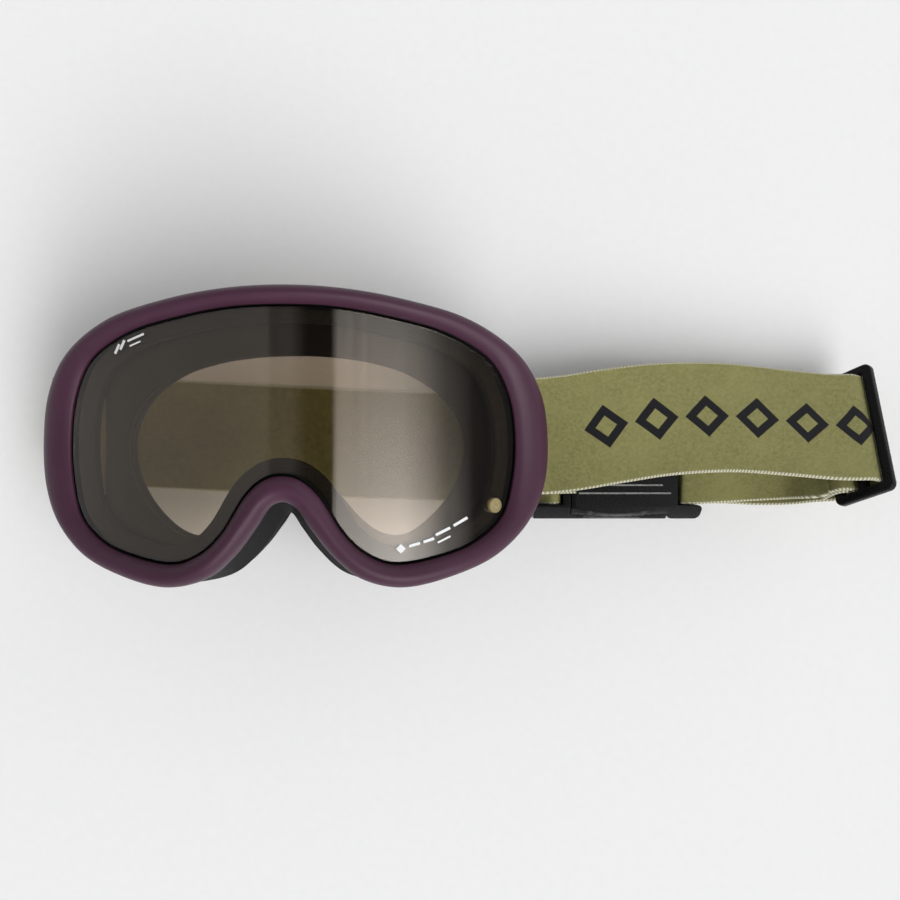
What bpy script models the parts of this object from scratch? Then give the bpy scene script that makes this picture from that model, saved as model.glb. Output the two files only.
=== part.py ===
"""Ski goggles lying lens up on a table, with the strap folded out to one side.

Lengths are written in millimetres and turned into metres when a mesh is made.
X runs along the object, from the left temple to the strap slider.
Y runs up the wearer's face, from the nose notch to the brow.  Z is up.
While the pieces are made, x = 0 is the middle of the goggles and z = 0 is the table.
The last step moves everything so that the bottom centre is at the origin.
"""
import math

import bmesh
import bpy
import numpy as np
from mathutils import Matrix, Vector

MM = 0.001
GAP = 0.3

# Wrap of the frame: the front and the face side are cylinders with their axes along Y.
FRONT_RADIUS = 125.0
FRONT_TOP_Z = 72.0
FACE_RADIUS = 130.0
FACE_TOP_Z = 50.0
STEPS_PER_SPAN = 3

# Right half of each outline, from the brow over the temple to the nose.
RIM_OUTER = [
    (0, 52.1), (20, 51.1), (40, 48.0), (60, 42.7), (76, 32.7), (84.4, 19.9), (87, 5), (86, -11),
    (80.1, -24.1), (69, -34.8), (54.6, -40.9), (39, -44), (26.1, -41.3), (17, -34.4),
    (9.6, -25.5), (4.8, -18.6), (0, -16.4),
]
RIM_INNER = [
    (0, 45.9), (17.5, 45.2), (35, 42.4), (52, 38.2), (66.5, 30.2), (73.3, 18.4), (75.5, 5), (74.8, -9),
    (71, -22), (61.4, -30.5), (49, -34.8), (36, -36.5), (26.7, -33.2), (19.2, -26.3),
    (12, -15), (6, -9.6), (0, -8.1),
]
FACE_OUTER = [
    (0, 50), (20, 49), (39, 46), (58, 40.7), (73, 31), (81, 18.5), (83, 4), (81.5, -11),
    (76, -23.5), (66, -34), (53, -41.2), (39, -44.2), (28, -43.6), (17.5, -40.3),
    (9.5, -33), (4.2, -26), (0, -20.6),
]
FACE_INNER = [
    (0, 31.1), (13, 30.6), (26, 28.8), (38, 25.2), (48.5, 18.5), (55, 10), (57, 1.5), (55.5, -8),
    (51, -16.5), (44.5, -23.5), (38.5, -27.6), (33, -28.7), (27, -26.5), (21.5, -21.5),
    (15.5, -14.5), (8, -8.5), (0, -6.5),
]

# Rim section: share of the way from the outer to the inner outline, and height off the wrap.
RIM_SECTION = [
    (0.0, -1.6), (0.07, 0.4), (0.21, 1.9), (0.42, 2.7), (0.65, 2.3), (0.86, 0.9), (0.98, -0.9),
    (0.95, -2.3), (0.3, -2.5), (0.22, -7.5), (0.04, -7.5), (-0.01, -4.4),
]

LENS_INSET = 0.8
LENS_THICKNESS = 1.2
LENS_DROP = 1.5
LENS_STRIP = 7.5
GASKET_INSETS = (1.4, 5.6)
GASKET_HEIGHTS = (-3.0, -6.0)
INNER_LENS_INSET = 1.5
INNER_LENS_THICKNESS = 0.8
INNER_LENS_DROP = 6.3
VALVE_CENTRE = (68.6, -18.4)
VALVE_RADIUS = 2.5
VALVE_HOLE_RADIUS = 2.8
VALVE_THICKNESS = 2.0

FLANGE_THICKNESS = 1.5
FLANGE_EDGE = 2.0
WALL_BACK_SHARE = 0.18
# Foam behind the flange: name, drop of its top and of its bottom below the flange.
FOAM_LAYERS = [("face_foam_base", 0.3, 7.0), ("face_foam_middle", 7.3, 12.7)]
FLEECE_DROPS = (13.0, 14.8, 16.0)
FOAM_OUTER_SHARE = 0.04
FOAM_INNER_SHARE = 0.93
FLEECE_ROUNDING_SHARE = 0.05

TOP_VENTS_X = (-51, -32, -11, 11, 32, 51)
TOP_VENT_WIDTH = 15.0
BOTTOM_VENTS_X = (-58, -43, 43, 58)
BOTTOM_VENT_WIDTH = 9.0
VENT_HEIGHT = 5.0
VENT_FOAM_THICKNESS = 2.4

# Strap and the bars it loops round.
STRAP_WIDTH = 41.0
STRAP_THICKNESS = 1.6
SIDE_BAR = (69.8, 4.8, 34.0)
SIDE_BAR_RADIUS = 1.3
SIDE_SLOT_WIDTH = 42.8
SIDE_SLOT = [
    (64.8, 32.0), (68, 30.2), (72, 28.9), (79, 25.2), (92, 16), (92, 26), (80, 32.2), (75.5, 34.9),
    (68.5, 39.4), (64.8, 41),
]

CLIP_CENTRE_Y = 0.4
CLIP_WIDTH = 52.4
CLIP_HEIGHT = 8.2
CLIP_RAIL = 5.4
RECEIVER_X = (84.3, 97.6)
RECEIVER_BLOCK_X = 94.9
BASE_END_X = 133.9
BASE_HEIGHT = 4.1
PLUG_X = (98.0, 146.5)
PLUG_PLATE_END = 137.3
PLUG_PLATE_THICKNESS = 3.8
END_BLOCK_X = 134.2
END_BLOCK_WIDTH = 5.4
END_BLOCK_CORNER = 2.0
TONGUE_X = 95.8
TONGUE_WIDTH = 30.0
TONGUE_Z = (4.9, 6.9)
CLIP_BAR_RADIUS = 1.4
CLIP_BAR_Z = 4.1
RECEIVER_BAR_X = 91.0
PLUG_BAR_X = 141.8
# Sloped outer sides of the clip: full width, how much less in the middle, and where.
SLOPE_WIDTH = 4.6
SLOPE_DIP = 2.4
SLOPE_DIP_X = (92, 138)
SLOPE_FOOT_Z = 1.4
RIDGE_LENGTHS = (34, 28, 22, 16)
RIDGE_FIRST = 9.8
RIDGE_PITCH = 3.0
RIDGE_SIZE = (0.6, 0.4)

SLIDER_CENTRE = (198.1, 5.4, 21.0)
SLIDER_ACROSS = (0.62, 0.33, 0.71)
SLIDER_ALONG = (0.03, -0.92, 0.40)
SLIDER_LENGTH = 48.6
SLIDER_WIDTH = 22.8
SLIDER_THICKNESS = 3.2
SLIDER_BAR = 3.6
SLIDER_CORNER = 2.5

# Strap paths: centre x, y, z and the tilt of the webbing about X in degrees.
LEFT_STRAP_PATH = [
    (-86.5, 4.8, 24.2, 0), (-84.5, 4.8, 24.9, 0), (-81.3, 4.8, 26.3, 0), (-77.3, 4.8, 28.2, 0),
    (-73.3, 4.8, 30.8, 0), (-69.8, 4.8, 31.65, 0), (-68.1, 4.8, 32.3, 0), (-67.4, 4.8, 34.0, 0),
    (-68.1, 4.8, 35.7, 0), (-69.8, 4.8, 36.4, 0), (-71.6, 4.8, 35.6, 0), (-73.3, 4.8, 34.0, 0),
    (-77.3, 4.8, 30.9, 0), (-81.3, 4.8, 29.0, 0), (-84.9, 5.0, 27.4, 0),
    (-87.8, 5.4, 24.2, 0), (-89.0, 5.8, 18.0, 0), (-88.0, 6.2, 9.6, 0), (-84.8, 6.5, 4.6, 0),
    (-78, 6.5, 2.2, 0), (-60, 6.2, 1.2, 0), (-20, 4.2, 1.1, 0), (30, 1.8, 1.1, 0),
    (70, 0.9, 1.1, 0), (84.5, 0.4, 1.1, 0), (91.0, 0.4, 1.5, 0), (92.85, 0.4, 2.25, 0),
    (93.6, 0.4, 4.1, 0), (92.85, 0.4, 5.95, 0), (91.0, 0.4, 6.7, 0), (88.8, 0.4, 5.3, 0),
    (86.5, 0.4, 3.4, 0), (85.0, 0.4, 3.0, 0), (82.0, 0.4, 2.95, 0),
]
RIGHT_STRAP_START = [
    (97, 5.2, 26.6, 3), (91, 5.0, 25.7, 1), (86, 4.8, 25.4, 0), (81.3, 4.8, 26.0, 0),
    (77.3, 4.8, 28.0, 0), (73.3, 4.8, 30.8, 0), (69.8, 4.8, 31.65, 0), (68.1, 4.8, 32.3, 0),
    (67.4, 4.8, 34.0, 0), (68.1, 4.8, 35.7, 0), (69.8, 4.8, 36.4, 0), (71.6, 4.8, 35.6, 0),
    (73.3, 4.8, 34.0, 0), (77.3, 4.8, 30.8, 0), (81.3, 4.9, 28.9, 0),
    (87, 5.2, 28.5, 0), (97, 6.4, 29.6, 4), (110, 8.6, 30.6, 9), (128, 11.0, 30.4, 15),
    (150, 11.7, 29.6, 20), (172, 9.9, 28.8, 23), (186, 8.6, 28.5, 23.5),
]
# Webbing through the slider: distance across it from the middle bar, height off it, tilt.
SLIDING_PLY = [
    (3.0, 8.8), (5.9, 4.6), (6.5, 0.4), (5.0, -3.3), (1.4, -4.5), (-2.2, -3.4), (-3.6, 0.2),
    (-4.7, 3.4), (-6.7, 5.5), (-10, 6.0), (-13.5, 5.4),
]
RIGHT_STRAP_MIDDLE = [
    (177, 2.3, 10.3, 10), (164, 1.7, 8.8, 2), (151, 0.9, 8.4, 0), (141.8, 0.4, 6.7, 0),
    (139.95, 0.4, 5.95, 0), (139.2, 0.4, 4.1, 0), (139.95, 0.4, 2.25, 0), (141.8, 0.4, 1.5, 0),
    (150, 0.1, 1.1, 0), (158, -0.4, 1.1, 0), (168, -0.7, 1.9, 1), (178, -0.2, 4.8, 8), (186, 0.5, 7.8, 18),
]
SEWN_PLY = [(-10.2, -4.7), (-6.9, -2.75), (-5.85, 0), (-6.95, 2.5), (-9.6, 3.5), (-12.8, 2.9), (-15.6, 2.0)]
STRAP_SAMPLES = 4

MATERIAL_COLOURS = {
    "rim_plum": ((0.062, 0.018, 0.045), 0.5),
    "frame_black": ((0.012, 0.012, 0.013), 0.5),
    "lens_tint": ((0.16, 0.12, 0.10), 0.08),
    "lens_clear": ((0.7, 0.7, 0.7), 0.08),
    "gasket_foam": ((0.03, 0.03, 0.032), 0.9),
    "valve_membrane": ((0.24, 0.19, 0.08), 0.6),
    "foam_black": ((0.015, 0.015, 0.016), 0.95),
    "fleece_black": ((0.01, 0.01, 0.011), 0.98),
    "bar_steel": ((0.45, 0.45, 0.46), 0.35),
    "webbing_olive": ((0.22, 0.21, 0.10), 0.9),
    "buckle_black": ((0.014, 0.014, 0.015), 0.45),
}


def spline_points(controls, per_span, closed):
    """Catmull-Rom curve through rows of numbers, as an array of rows."""
    rows = np.array(controls, dtype=float)
    count = len(rows)
    spans = count if closed else count - 1
    curve = []
    for span in range(spans):
        ids = [span - 1, span, span + 1, span + 2]
        if closed:
            ids = [index % count for index in ids]
        else:
            ids = [min(max(index, 0), count - 1) for index in ids]
        before, start, end, after = (rows[index] for index in ids)
        for step in range(per_span):
            t = step / per_span
            curve.append(
                0.5 * (2 * start + (end - before) * t
                       + (2 * before - 5 * start + 4 * end - after) * t ** 2
                       + (3 * start - before - 3 * end + after) * t ** 3)
            )
    if not closed:
        curve.append(rows[-1])
    return np.array(curve)


def full_outline(half):
    """Closed outline from its right half, clockwise from the brow."""
    left = [(-x, y) for x, y in half[-2:0:-1]]
    return spline_points(half + left, STEPS_PER_SPAN, closed=True)


def sag(x, radius):
    return radius - np.sqrt(radius * radius - x * x)


def inset_outline(outline, distance):
    """The outline moved inward by a distance, square to its own run."""
    run = np.roll(outline, -1, axis=0) - np.roll(outline, 1, axis=0)
    run /= np.linalg.norm(run, axis=1)[:, None]
    inward = np.stack([run[:, 1], -run[:, 0]], axis=1)
    return outline + inward * distance


def unit_rows(rows):
    return rows / np.linalg.norm(rows, axis=1)[:, None]


def on_front(outline):
    """Outline laid on the front wrap."""
    height = FRONT_TOP_Z - sag(outline[:, 0], FRONT_RADIUS)
    return np.column_stack([outline, height])


def front_ring(outer, inner, share, height):
    """Ring part-way between two outlines, lifted square to the band between them."""
    outside = on_front(outer)
    across = on_front(inner) - outside
    run = np.roll(outside, -1, axis=0) - np.roll(outside, 1, axis=0)
    normal = unit_rows(np.cross(across, run))
    normal *= np.sign(normal[:, 2])[:, None]
    return outside + across * share + normal * height


def face_ring(share, drop):
    """Ring part-way between the face outlines, dropped below the flange."""
    outline = full_outline(FACE_OUTER) * (1 - share) + full_outline(FACE_INNER) * share
    height = FACE_TOP_Z - sag(outline[:, 0], FACE_RADIUS) - drop
    return np.column_stack([outline, height])


def new_object(name, mesh, material):
    mesh.materials.append(bpy.data.materials[material])
    obj = bpy.data.objects.new(name, mesh)
    bpy.data.collections["ski_goggles"].objects.link(obj)
    return obj


def face_outward(mesh, split=False):
    """Turn all faces outward; `split` first cuts each quad along its shorter diagonal."""
    work = bmesh.new()
    work.from_mesh(mesh)
    if split:
        bmesh.ops.triangulate(work, faces=work.faces, quad_method="SHORT_EDGE")
    bmesh.ops.recalc_face_normals(work, faces=work.faces)
    if work.calc_volume(signed=True) < 0:
        bmesh.ops.reverse_faces(work, faces=work.faces)
    work.to_mesh(mesh)
    work.free()


def loft(name, rings, material, around=True, capped=False):
    """Solid from a closed section of rings; `around` joins each ring end to end."""
    section = len(rings)
    length = len(rings[0])
    points = [tuple(point * MM) for ring in rings for point in ring]
    faces = []
    spans = length if around else length - 1
    for row in range(section):
        following = (row + 1) % section
        for col in range(spans):
            right = (col + 1) % length
            faces.append((row * length + col, row * length + right,
                          following * length + right, following * length + col))
    if capped:
        faces.append(tuple(row * length for row in range(section)))
        faces.append(tuple(row * length + length - 1 for row in reversed(range(section))))
    mesh = bpy.data.meshes.new(name)
    mesh.from_pydata(points, [], faces)
    face_outward(mesh, split=True)
    return new_object(name, mesh, material)


def prism(name, outline, span, material, axis="Y"):
    """Solid with an outline in XZ running along Y, or in XY running along Z."""
    count = len(outline)
    if axis == "Y":
        points = [(x * MM, level * MM, z * MM) for level in span for x, z in outline]
    else:
        points = [(x * MM, y * MM, level * MM) for level in span for x, y in outline]
    sides = [(i, (i + 1) % count, (i + 1) % count + count, i + count) for i in range(count)]
    ends = [tuple(range(count)), tuple(reversed(range(count, 2 * count)))]
    mesh = bpy.data.meshes.new(name)
    mesh.from_pydata(points, [], sides + ends)
    face_outward(mesh)
    return new_object(name, mesh, material)


def box(name, low, high, material):
    outline = [(low[0], low[2]), (high[0], low[2]), (high[0], high[2]), (low[0], high[2])]
    return prism(name, outline, (low[1], high[1]), material)


def rod(name, centre, radius, length, material, sides=16):
    """Round bar along Y."""
    outline = []
    for step in range(sides):
        angle = 2 * math.pi * step / sides
        outline.append((centre[0] + radius * math.cos(angle), centre[2] + radius * math.sin(angle)))
    return prism(name, outline, (centre[1] - length / 2, centre[1] + length / 2), material)


def combine(obj, tools, operation):
    """Apply a Boolean with each tool and throw the tools away."""
    for tool in tools:
        step = obj.modifiers.new("step", "BOOLEAN")
        step.operation = operation
        step.solver = "EXACT"
        step.object = tool
        evaluated = obj.evaluated_get(bpy.context.evaluated_depsgraph_get())
        result = bpy.data.meshes.new_from_object(evaluated)
        obj.modifiers.clear()
        obj.data = result
        bpy.data.objects.remove(tool)
    return obj


def tidy(obj, distance=0.02):
    """Merge points closer than the distance, in millimetres."""
    work = bmesh.new()
    work.from_mesh(obj.data)
    bmesh.ops.remove_doubles(work, verts=work.verts, dist=distance * MM)
    bmesh.ops.dissolve_degenerate(work, edges=work.edges, dist=distance * MM)
    work.to_mesh(obj.data)
    work.free()
    return obj


def make_materials():
    for name, (colour, roughness) in MATERIAL_COLOURS.items():
        material = bpy.data.materials.new(name)
        material.use_nodes = True
        shader = material.node_tree.nodes["Principled BSDF"]
        shader.inputs["Base Color"].default_value = (*colour, 1.0)
        shader.inputs["Roughness"].default_value = roughness


def make_rim():
    outer = full_outline(RIM_OUTER)
    inner = full_outline(RIM_INNER)
    rings = [front_ring(outer, inner, share, height) for share, height in RIM_SECTION]
    return loft("frame_rim", rings, "rim_plum")


def lens_sheet(name, inset, drop, thickness, material):
    """Cylinder sheet inside the rim: a flat outline cut into strips, bent and thickened."""
    outline = inset_outline(full_outline(RIM_INNER), inset)
    work = bmesh.new()
    corners = [work.verts.new((x * MM, y * MM, 0)) for x, y in outline]
    work.faces.new(corners)
    reach = np.abs(outline[:, 0]).max()
    strips = int(2 * reach / LENS_STRIP)
    for strip in range(1, strips):
        cut_x = -reach + 2 * reach * strip / strips
        geometry = list(work.verts) + list(work.edges) + list(work.faces)
        bmesh.ops.bisect_plane(work, geom=geometry, dist=1e-7, plane_co=(cut_x * MM, 0, 0), plane_no=(1, 0, 0))
    bmesh.ops.remove_doubles(work, verts=work.verts, dist=0.05 * MM)
    bmesh.ops.triangulate(work, faces=work.faces)
    upper = list(work.verts)
    for vert in upper:
        x = vert.co.x / MM
        lean = math.asin(x / FRONT_RADIUS)
        vert.co.x -= drop * math.sin(lean) * MM
        vert.co.z = (FRONT_TOP_Z - sag(x, FRONT_RADIUS) - drop * math.cos(lean)) * MM
    bmesh.ops.recalc_face_normals(work, faces=work.faces)
    if sum(face.normal.z for face in work.faces) < 0:
        bmesh.ops.reverse_faces(work, faces=work.faces)
    mesh = bpy.data.meshes.new(name)
    work.to_mesh(mesh)
    work.free()
    obj = new_object(name, mesh, material)
    thicken = obj.modifiers.new("thickness", "SOLIDIFY")
    thicken.thickness = thickness * MM
    thicken.offset = -1.0
    return obj


def valve_frame():
    """Matrix that stands a disc on the lens at the valve."""
    x, y = VALVE_CENTRE
    lean = math.asin(x / FRONT_RADIUS)
    place = Vector((x, y, FRONT_TOP_Z - sag(x, FRONT_RADIUS))) * MM
    return Matrix.Translation(place) @ Matrix.Rotation(lean, 4, "Y")


def disc(name, radius, low, high, material, sides=24):
    """Upright disc on the lens at the valve, between two heights off the front wrap."""
    work = bmesh.new()
    bmesh.ops.create_cone(work, cap_ends=True, segments=sides, radius1=radius * MM,
                          radius2=radius * MM, depth=(high - low) * MM)
    bmesh.ops.translate(work, verts=work.verts, vec=(0, 0, (low + high) / 2 * MM))
    bmesh.ops.transform(work, matrix=valve_frame(), verts=work.verts)
    mesh = bpy.data.meshes.new(name)
    work.to_mesh(mesh)
    work.free()
    return new_object(name, mesh, material)


def apply_modifiers(obj):
    evaluated = obj.evaluated_get(bpy.context.evaluated_depsgraph_get())
    result = bpy.data.meshes.new_from_object(evaluated)
    obj.modifiers.clear()
    obj.data = result
    return obj


def make_outer_lens():
    lens = lens_sheet("outer_lens", LENS_INSET, LENS_DROP, LENS_THICKNESS, "lens_tint")
    apply_modifiers(lens)
    hole = disc("hole", VALVE_HOLE_RADIUS, -6.0, 2.0, "lens_tint")
    return tidy(combine(lens, [hole], "DIFFERENCE"))


def make_inner_lens():
    return lens_sheet("inner_lens", INNER_LENS_INSET, INNER_LENS_DROP, INNER_LENS_THICKNESS, "lens_clear")


def make_valve():
    low = -LENS_DROP - LENS_THICKNESS - 0.1
    return disc("equaliser_valve", VALVE_RADIUS, low, low + VALVE_THICKNESS, "valve_membrane")


def make_gasket():
    rim = full_outline(RIM_INNER)
    outer = inset_outline(rim, GASKET_INSETS[0])
    inner = inset_outline(rim, GASKET_INSETS[1])
    rings = []
    for share, height in ((0, 0), (1, 0), (1, 1), (0, 1)):
        rings.append(front_ring(outer, inner, share, GASKET_HEIGHTS[height]))
    return loft("lens_gasket", rings, "gasket_foam")


def seat_ring(share, height):
    return front_ring(full_outline(RIM_OUTER), full_outline(RIM_INNER), share, height)


def chassis_rings():
    rim = full_outline(RIM_INNER)
    ledge = inset_outline(rim, 4.6)
    return [
        seat_ring(0.36, -3.0),
        seat_ring(0.97, -3.0),
        seat_ring(0.97, -7.5),
        front_ring(rim, ledge, 1.0, -7.5),
        front_ring(rim, ledge, 1.0, -8.9),
        seat_ring(0.85, -9.3),
        face_ring(WALL_BACK_SHARE, -FLANGE_THICKNESS),
        face_ring(0.98, -FLANGE_THICKNESS),
        face_ring(0.98, 0),
        face_ring(0.0, 0),
        face_ring(0.0, -FLANGE_EDGE),
        seat_ring(0.36, -8.6),
    ]


def vent_cutters():
    """Blocks that open the brow wall and the two cheek walls."""
    cutters = []
    for x in TOP_VENTS_X:
        middle = FACE_TOP_Z - sag(x, FACE_RADIUS) + 6.6
        half = TOP_VENT_WIDTH / 2
        cutters.append(box("vent", (x - half, 30, middle - VENT_HEIGHT / 2),
                           (x + half, 70, middle + VENT_HEIGHT / 2), "frame_black"))
    for x in BOTTOM_VENTS_X:
        middle = FACE_TOP_Z - sag(x, FACE_RADIUS) + 6.2
        half = BOTTOM_VENT_WIDTH / 2
        cutters.append(box("vent", (x - half, -60, middle - VENT_HEIGHT / 2),
                           (x + half, -30, middle + VENT_HEIGHT / 2), "frame_black"))
    return cutters


def side_slot_cutters():
    """Blocks that open each temple wall for the strap."""
    middle = SIDE_BAR[1]
    reach = SIDE_SLOT_WIDTH / 2
    cutters = []
    for side in (-1, 1):
        outline = [(side * x, z) for x, z in SIDE_SLOT]
        cutters.append(prism("slot", outline, (middle - reach, middle + reach), "frame_black"))
    return cutters


def make_chassis():
    chassis = loft("frame_chassis", chassis_rings(), "frame_black")
    return tidy(combine(chassis, vent_cutters() + side_slot_cutters(), "DIFFERENCE"))


def make_foam_layers():
    for name, top, bottom in FOAM_LAYERS:
        rings = [
            face_ring(FOAM_OUTER_SHARE, top),
            face_ring(FOAM_INNER_SHARE, top),
            face_ring(FOAM_INNER_SHARE, bottom),
            face_ring(FOAM_OUTER_SHARE, bottom),
        ]
        loft(name, rings, "foam_black")
    top, shoulder, bottom = FLEECE_DROPS
    rings = [
        face_ring(FOAM_OUTER_SHARE, top),
        face_ring(FOAM_INNER_SHARE, top),
        face_ring(FOAM_INNER_SHARE, shoulder),
        face_ring(FOAM_INNER_SHARE - FLEECE_ROUNDING_SHARE, bottom),
        face_ring(FOAM_OUTER_SHARE + FLEECE_ROUNDING_SHARE, bottom),
        face_ring(FOAM_OUTER_SHARE, shoulder),
    ]
    loft("face_fleece", rings, "fleece_black")


def wall_inside(share_down, inward):
    """Ring on the inside of the chassis wall, from its top (0) to its foot (1)."""
    top = seat_ring(0.85, -9.3)
    foot = face_ring(WALL_BACK_SHARE, -FLANGE_THICKNESS)
    ring = top * (1 - share_down) + foot * share_down
    flat = inset_outline(ring[:, :2], inward)
    return np.column_stack([flat, ring[:, 2]])


def make_vent_foams():
    """Thin filter foam behind the brow vents and behind each group of cheek vents."""
    total = 2 * (len(RIM_OUTER) - 1) * STEPS_PER_SPAN
    spans = {
        "vent_foam_brow": range(-10, 11),
        "vent_foam_cheek_right": range(27, 34),
        "vent_foam_cheek_left": range(total - 33, total - 26),
    }
    for name, span in spans.items():
        pick = [index % total for index in span]
        near = GAP
        far = GAP + VENT_FOAM_THICKNESS
        rings = [wall_inside(0.1, near), wall_inside(0.1, far), wall_inside(0.9, far), wall_inside(0.9, near)]
        loft(name, [ring[pick] for ring in rings], "foam_black", around=False, capped=True)


def make_side_bars():
    for name, side in (("strap_bar_left", -1), ("strap_bar_right", 1)):
        centre = (side * SIDE_BAR[0], SIDE_BAR[1], SIDE_BAR[2])
        rod(name, centre, SIDE_BAR_RADIUS, SIDE_SLOT_WIDTH - 2 * GAP, "bar_steel")


def clip_rails(x_range, width, corner, material):
    """A bar along each side of one half of the clip."""
    rails = []
    for side in (-1, 1):
        middle = CLIP_CENTRE_Y + side * (CLIP_WIDTH - width) / 2
        outline = rounded_rectangle(x_range[1] - x_range[0], width, corner, (sum(x_range) / 2, middle))
        rails.append(prism("rail", outline, (0, CLIP_HEIGHT), material, axis="Z"))
    return rails


def side_slopes(material):
    """Wedges that slope the outer sides of the clip, narrower in the middle for the fingers."""
    x = np.linspace(80, 150, 29)
    start, end = SLOPE_DIP_X
    share = np.clip((x - start) / (end - start), 0, 1)
    width = SLOPE_WIDTH - SLOPE_DIP * np.sin(math.pi * share) ** 2
    top = CLIP_HEIGHT + 1.8
    reach = width * (top - SLOPE_FOOT_Z) / (CLIP_HEIGHT - SLOPE_FOOT_Z)
    wedges = []
    for side in (-1, 1):
        edge = CLIP_CENTRE_Y + side * CLIP_WIDTH / 2
        rows = [(edge + 0 * x, SLOPE_FOOT_Z), (edge - side * reach, top), (edge + side * 3 + 0 * x, top),
                (edge + side * 3 + 0 * x, SLOPE_FOOT_Z)]
        rings = [np.column_stack([x, y, np.full_like(x, z)]) for y, z in rows]
        wedges.append(loft("slope", rings, material, around=False, capped=True))
    return wedges


def make_clip_receiver():
    """Half with the left strap: a frame with a bar, and a base that runs on under the plug's plate."""
    material = "buckle_black"
    half = CLIP_WIDTH / 2
    block = box("clip_receiver", (RECEIVER_BLOCK_X, CLIP_CENTRE_Y - half, 0),
                (RECEIVER_X[1], CLIP_CENTRE_Y + half, CLIP_HEIGHT), material)
    added = clip_rails(RECEIVER_X, CLIP_RAIL, GAP, material)
    added.append(box("base", (RECEIVER_BLOCK_X + 1, CLIP_CENTRE_Y - half, 0),
                     (BASE_END_X, CLIP_CENTRE_Y + half, BASE_HEIGHT), material))
    added.append(rod("bar", (RECEIVER_BAR_X, CLIP_CENTRE_Y, CLIP_BAR_Z), CLIP_BAR_RADIUS,
                     CLIP_WIDTH - 2 * CLIP_RAIL + 2, material, 12))
    combine(block, added, "UNION")
    reach = TONGUE_WIDTH / 2 + GAP
    socket = box("socket", (TONGUE_X - GAP, CLIP_CENTRE_Y - reach, TONGUE_Z[0] - GAP),
                 (RECEIVER_X[1] + 1, CLIP_CENTRE_Y + reach, TONGUE_Z[1] + GAP), material)
    return tidy(combine(block, [socket] + side_slopes(material), "DIFFERENCE"))


def make_clip_plug():
    """Half with the right strap: a ridged plate over the base, a tongue, and a frame with a bar."""
    material = "buckle_black"
    half = CLIP_WIDTH / 2
    plate = box("clip_plug", (PLUG_X[0], CLIP_CENTRE_Y - half, CLIP_HEIGHT - PLUG_PLATE_THICKNESS),
                (PLUG_PLATE_END, CLIP_CENTRE_Y + half, CLIP_HEIGHT), material)
    added = clip_rails((END_BLOCK_X, PLUG_X[1]), END_BLOCK_WIDTH, END_BLOCK_CORNER, material)
    reach = TONGUE_WIDTH / 2
    added.append(box("tongue", (TONGUE_X, CLIP_CENTRE_Y - reach, TONGUE_Z[0]),
                     (PLUG_X[0] + 1, CLIP_CENTRE_Y + reach, TONGUE_Z[1]), material))
    added.append(rod("bar", (PLUG_BAR_X, CLIP_CENTRE_Y, CLIP_BAR_Z), CLIP_BAR_RADIUS,
                     CLIP_WIDTH - 2 * END_BLOCK_WIDTH + 2, material, 12))
    middle_x = (PLUG_X[0] + PLUG_PLATE_END) / 2
    for order, length in enumerate(RIDGE_LENGTHS):
        for side in (-1, 1):
            y = CLIP_CENTRE_Y + side * (half - RIDGE_FIRST - order * RIDGE_PITCH)
            low = (middle_x - length / 2, y - RIDGE_SIZE[0] / 2, CLIP_HEIGHT - 0.5)
            high = (middle_x + length / 2, y + RIDGE_SIZE[0] / 2, CLIP_HEIGHT + RIDGE_SIZE[1])
            added.append(box("ridge", low, high, material))
    combine(plate, added, "UNION")
    return tidy(combine(plate, side_slopes(material), "DIFFERENCE"))


def slider_axes():
    across = Vector(SLIDER_ACROSS).normalized()
    along = Vector(SLIDER_ALONG)
    along = (along - across * along.dot(across)).normalized()
    return across, along, along.cross(across)


def rounded_rectangle(width, length, corner, centre=(0.0, 0.0)):
    """Corner points of a rounded rectangle, `width` along the first axis."""
    points = []
    for quarter, (side_x, side_y) in enumerate(((1, 1), (-1, 1), (-1, -1), (1, -1))):
        for step in range(5):
            angle = math.pi / 2 * (quarter + step / 4)
            points.append((centre[0] + side_x * (width / 2 - corner) + corner * math.cos(angle),
                           centre[1] + side_y * (length / 2 - corner) + corner * math.sin(angle)))
    return points


def make_slider():
    """Three-bar slider: a flat plate with two windows."""
    curve = bpy.data.curves.new("slider_outline", "CURVE")
    curve.dimensions = "2D"
    curve.fill_mode = "BOTH"
    curve.bevel_depth = 0.5 * MM
    curve.bevel_resolution = 1
    curve.extrude = (SLIDER_THICKNESS / 2 - 0.5) * MM
    inset = 0.5
    window_width = (SLIDER_WIDTH - 3 * SLIDER_BAR) / 2 + 2 * inset
    window_length = STRAP_WIDTH + 2 * GAP + 2 * inset
    window_centre = (window_width - 2 * inset + SLIDER_BAR) / 2
    shapes = [rounded_rectangle(SLIDER_WIDTH - 2 * inset, SLIDER_LENGTH - 2 * inset, SLIDER_CORNER - inset)]
    for side in (-1, 1):
        shapes.append(rounded_rectangle(window_width, window_length, 0.8, (side * window_centre, 0)))
    for points in shapes:
        spline = curve.splines.new("POLY")
        spline.use_cyclic_u = True
        spline.points.add(len(points) - 1)
        for spot, (x, y) in zip(spline.points, points):
            spot.co = (x * MM, y * MM, 0, 1)
    pattern = bpy.data.objects.new("slider_outline", curve)
    bpy.data.collections["ski_goggles"].objects.link(pattern)
    evaluated = pattern.evaluated_get(bpy.context.evaluated_depsgraph_get())
    mesh = bpy.data.meshes.new_from_object(evaluated)
    bpy.data.objects.remove(pattern)
    mesh.name = "strap_slider"
    across, along, normal = slider_axes()
    turn = Matrix((across, -along, -normal)).transposed()
    if turn.determinant() < 0:
        turn = Matrix((across, along, normal)).transposed()
    for vert in mesh.vertices:
        vert.co = turn @ vert.co + Vector(SLIDER_CENTRE) * MM
    slider = tidy(new_object("strap_slider", mesh, "buckle_black"))
    face_outward(slider.data)
    return slider


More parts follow.
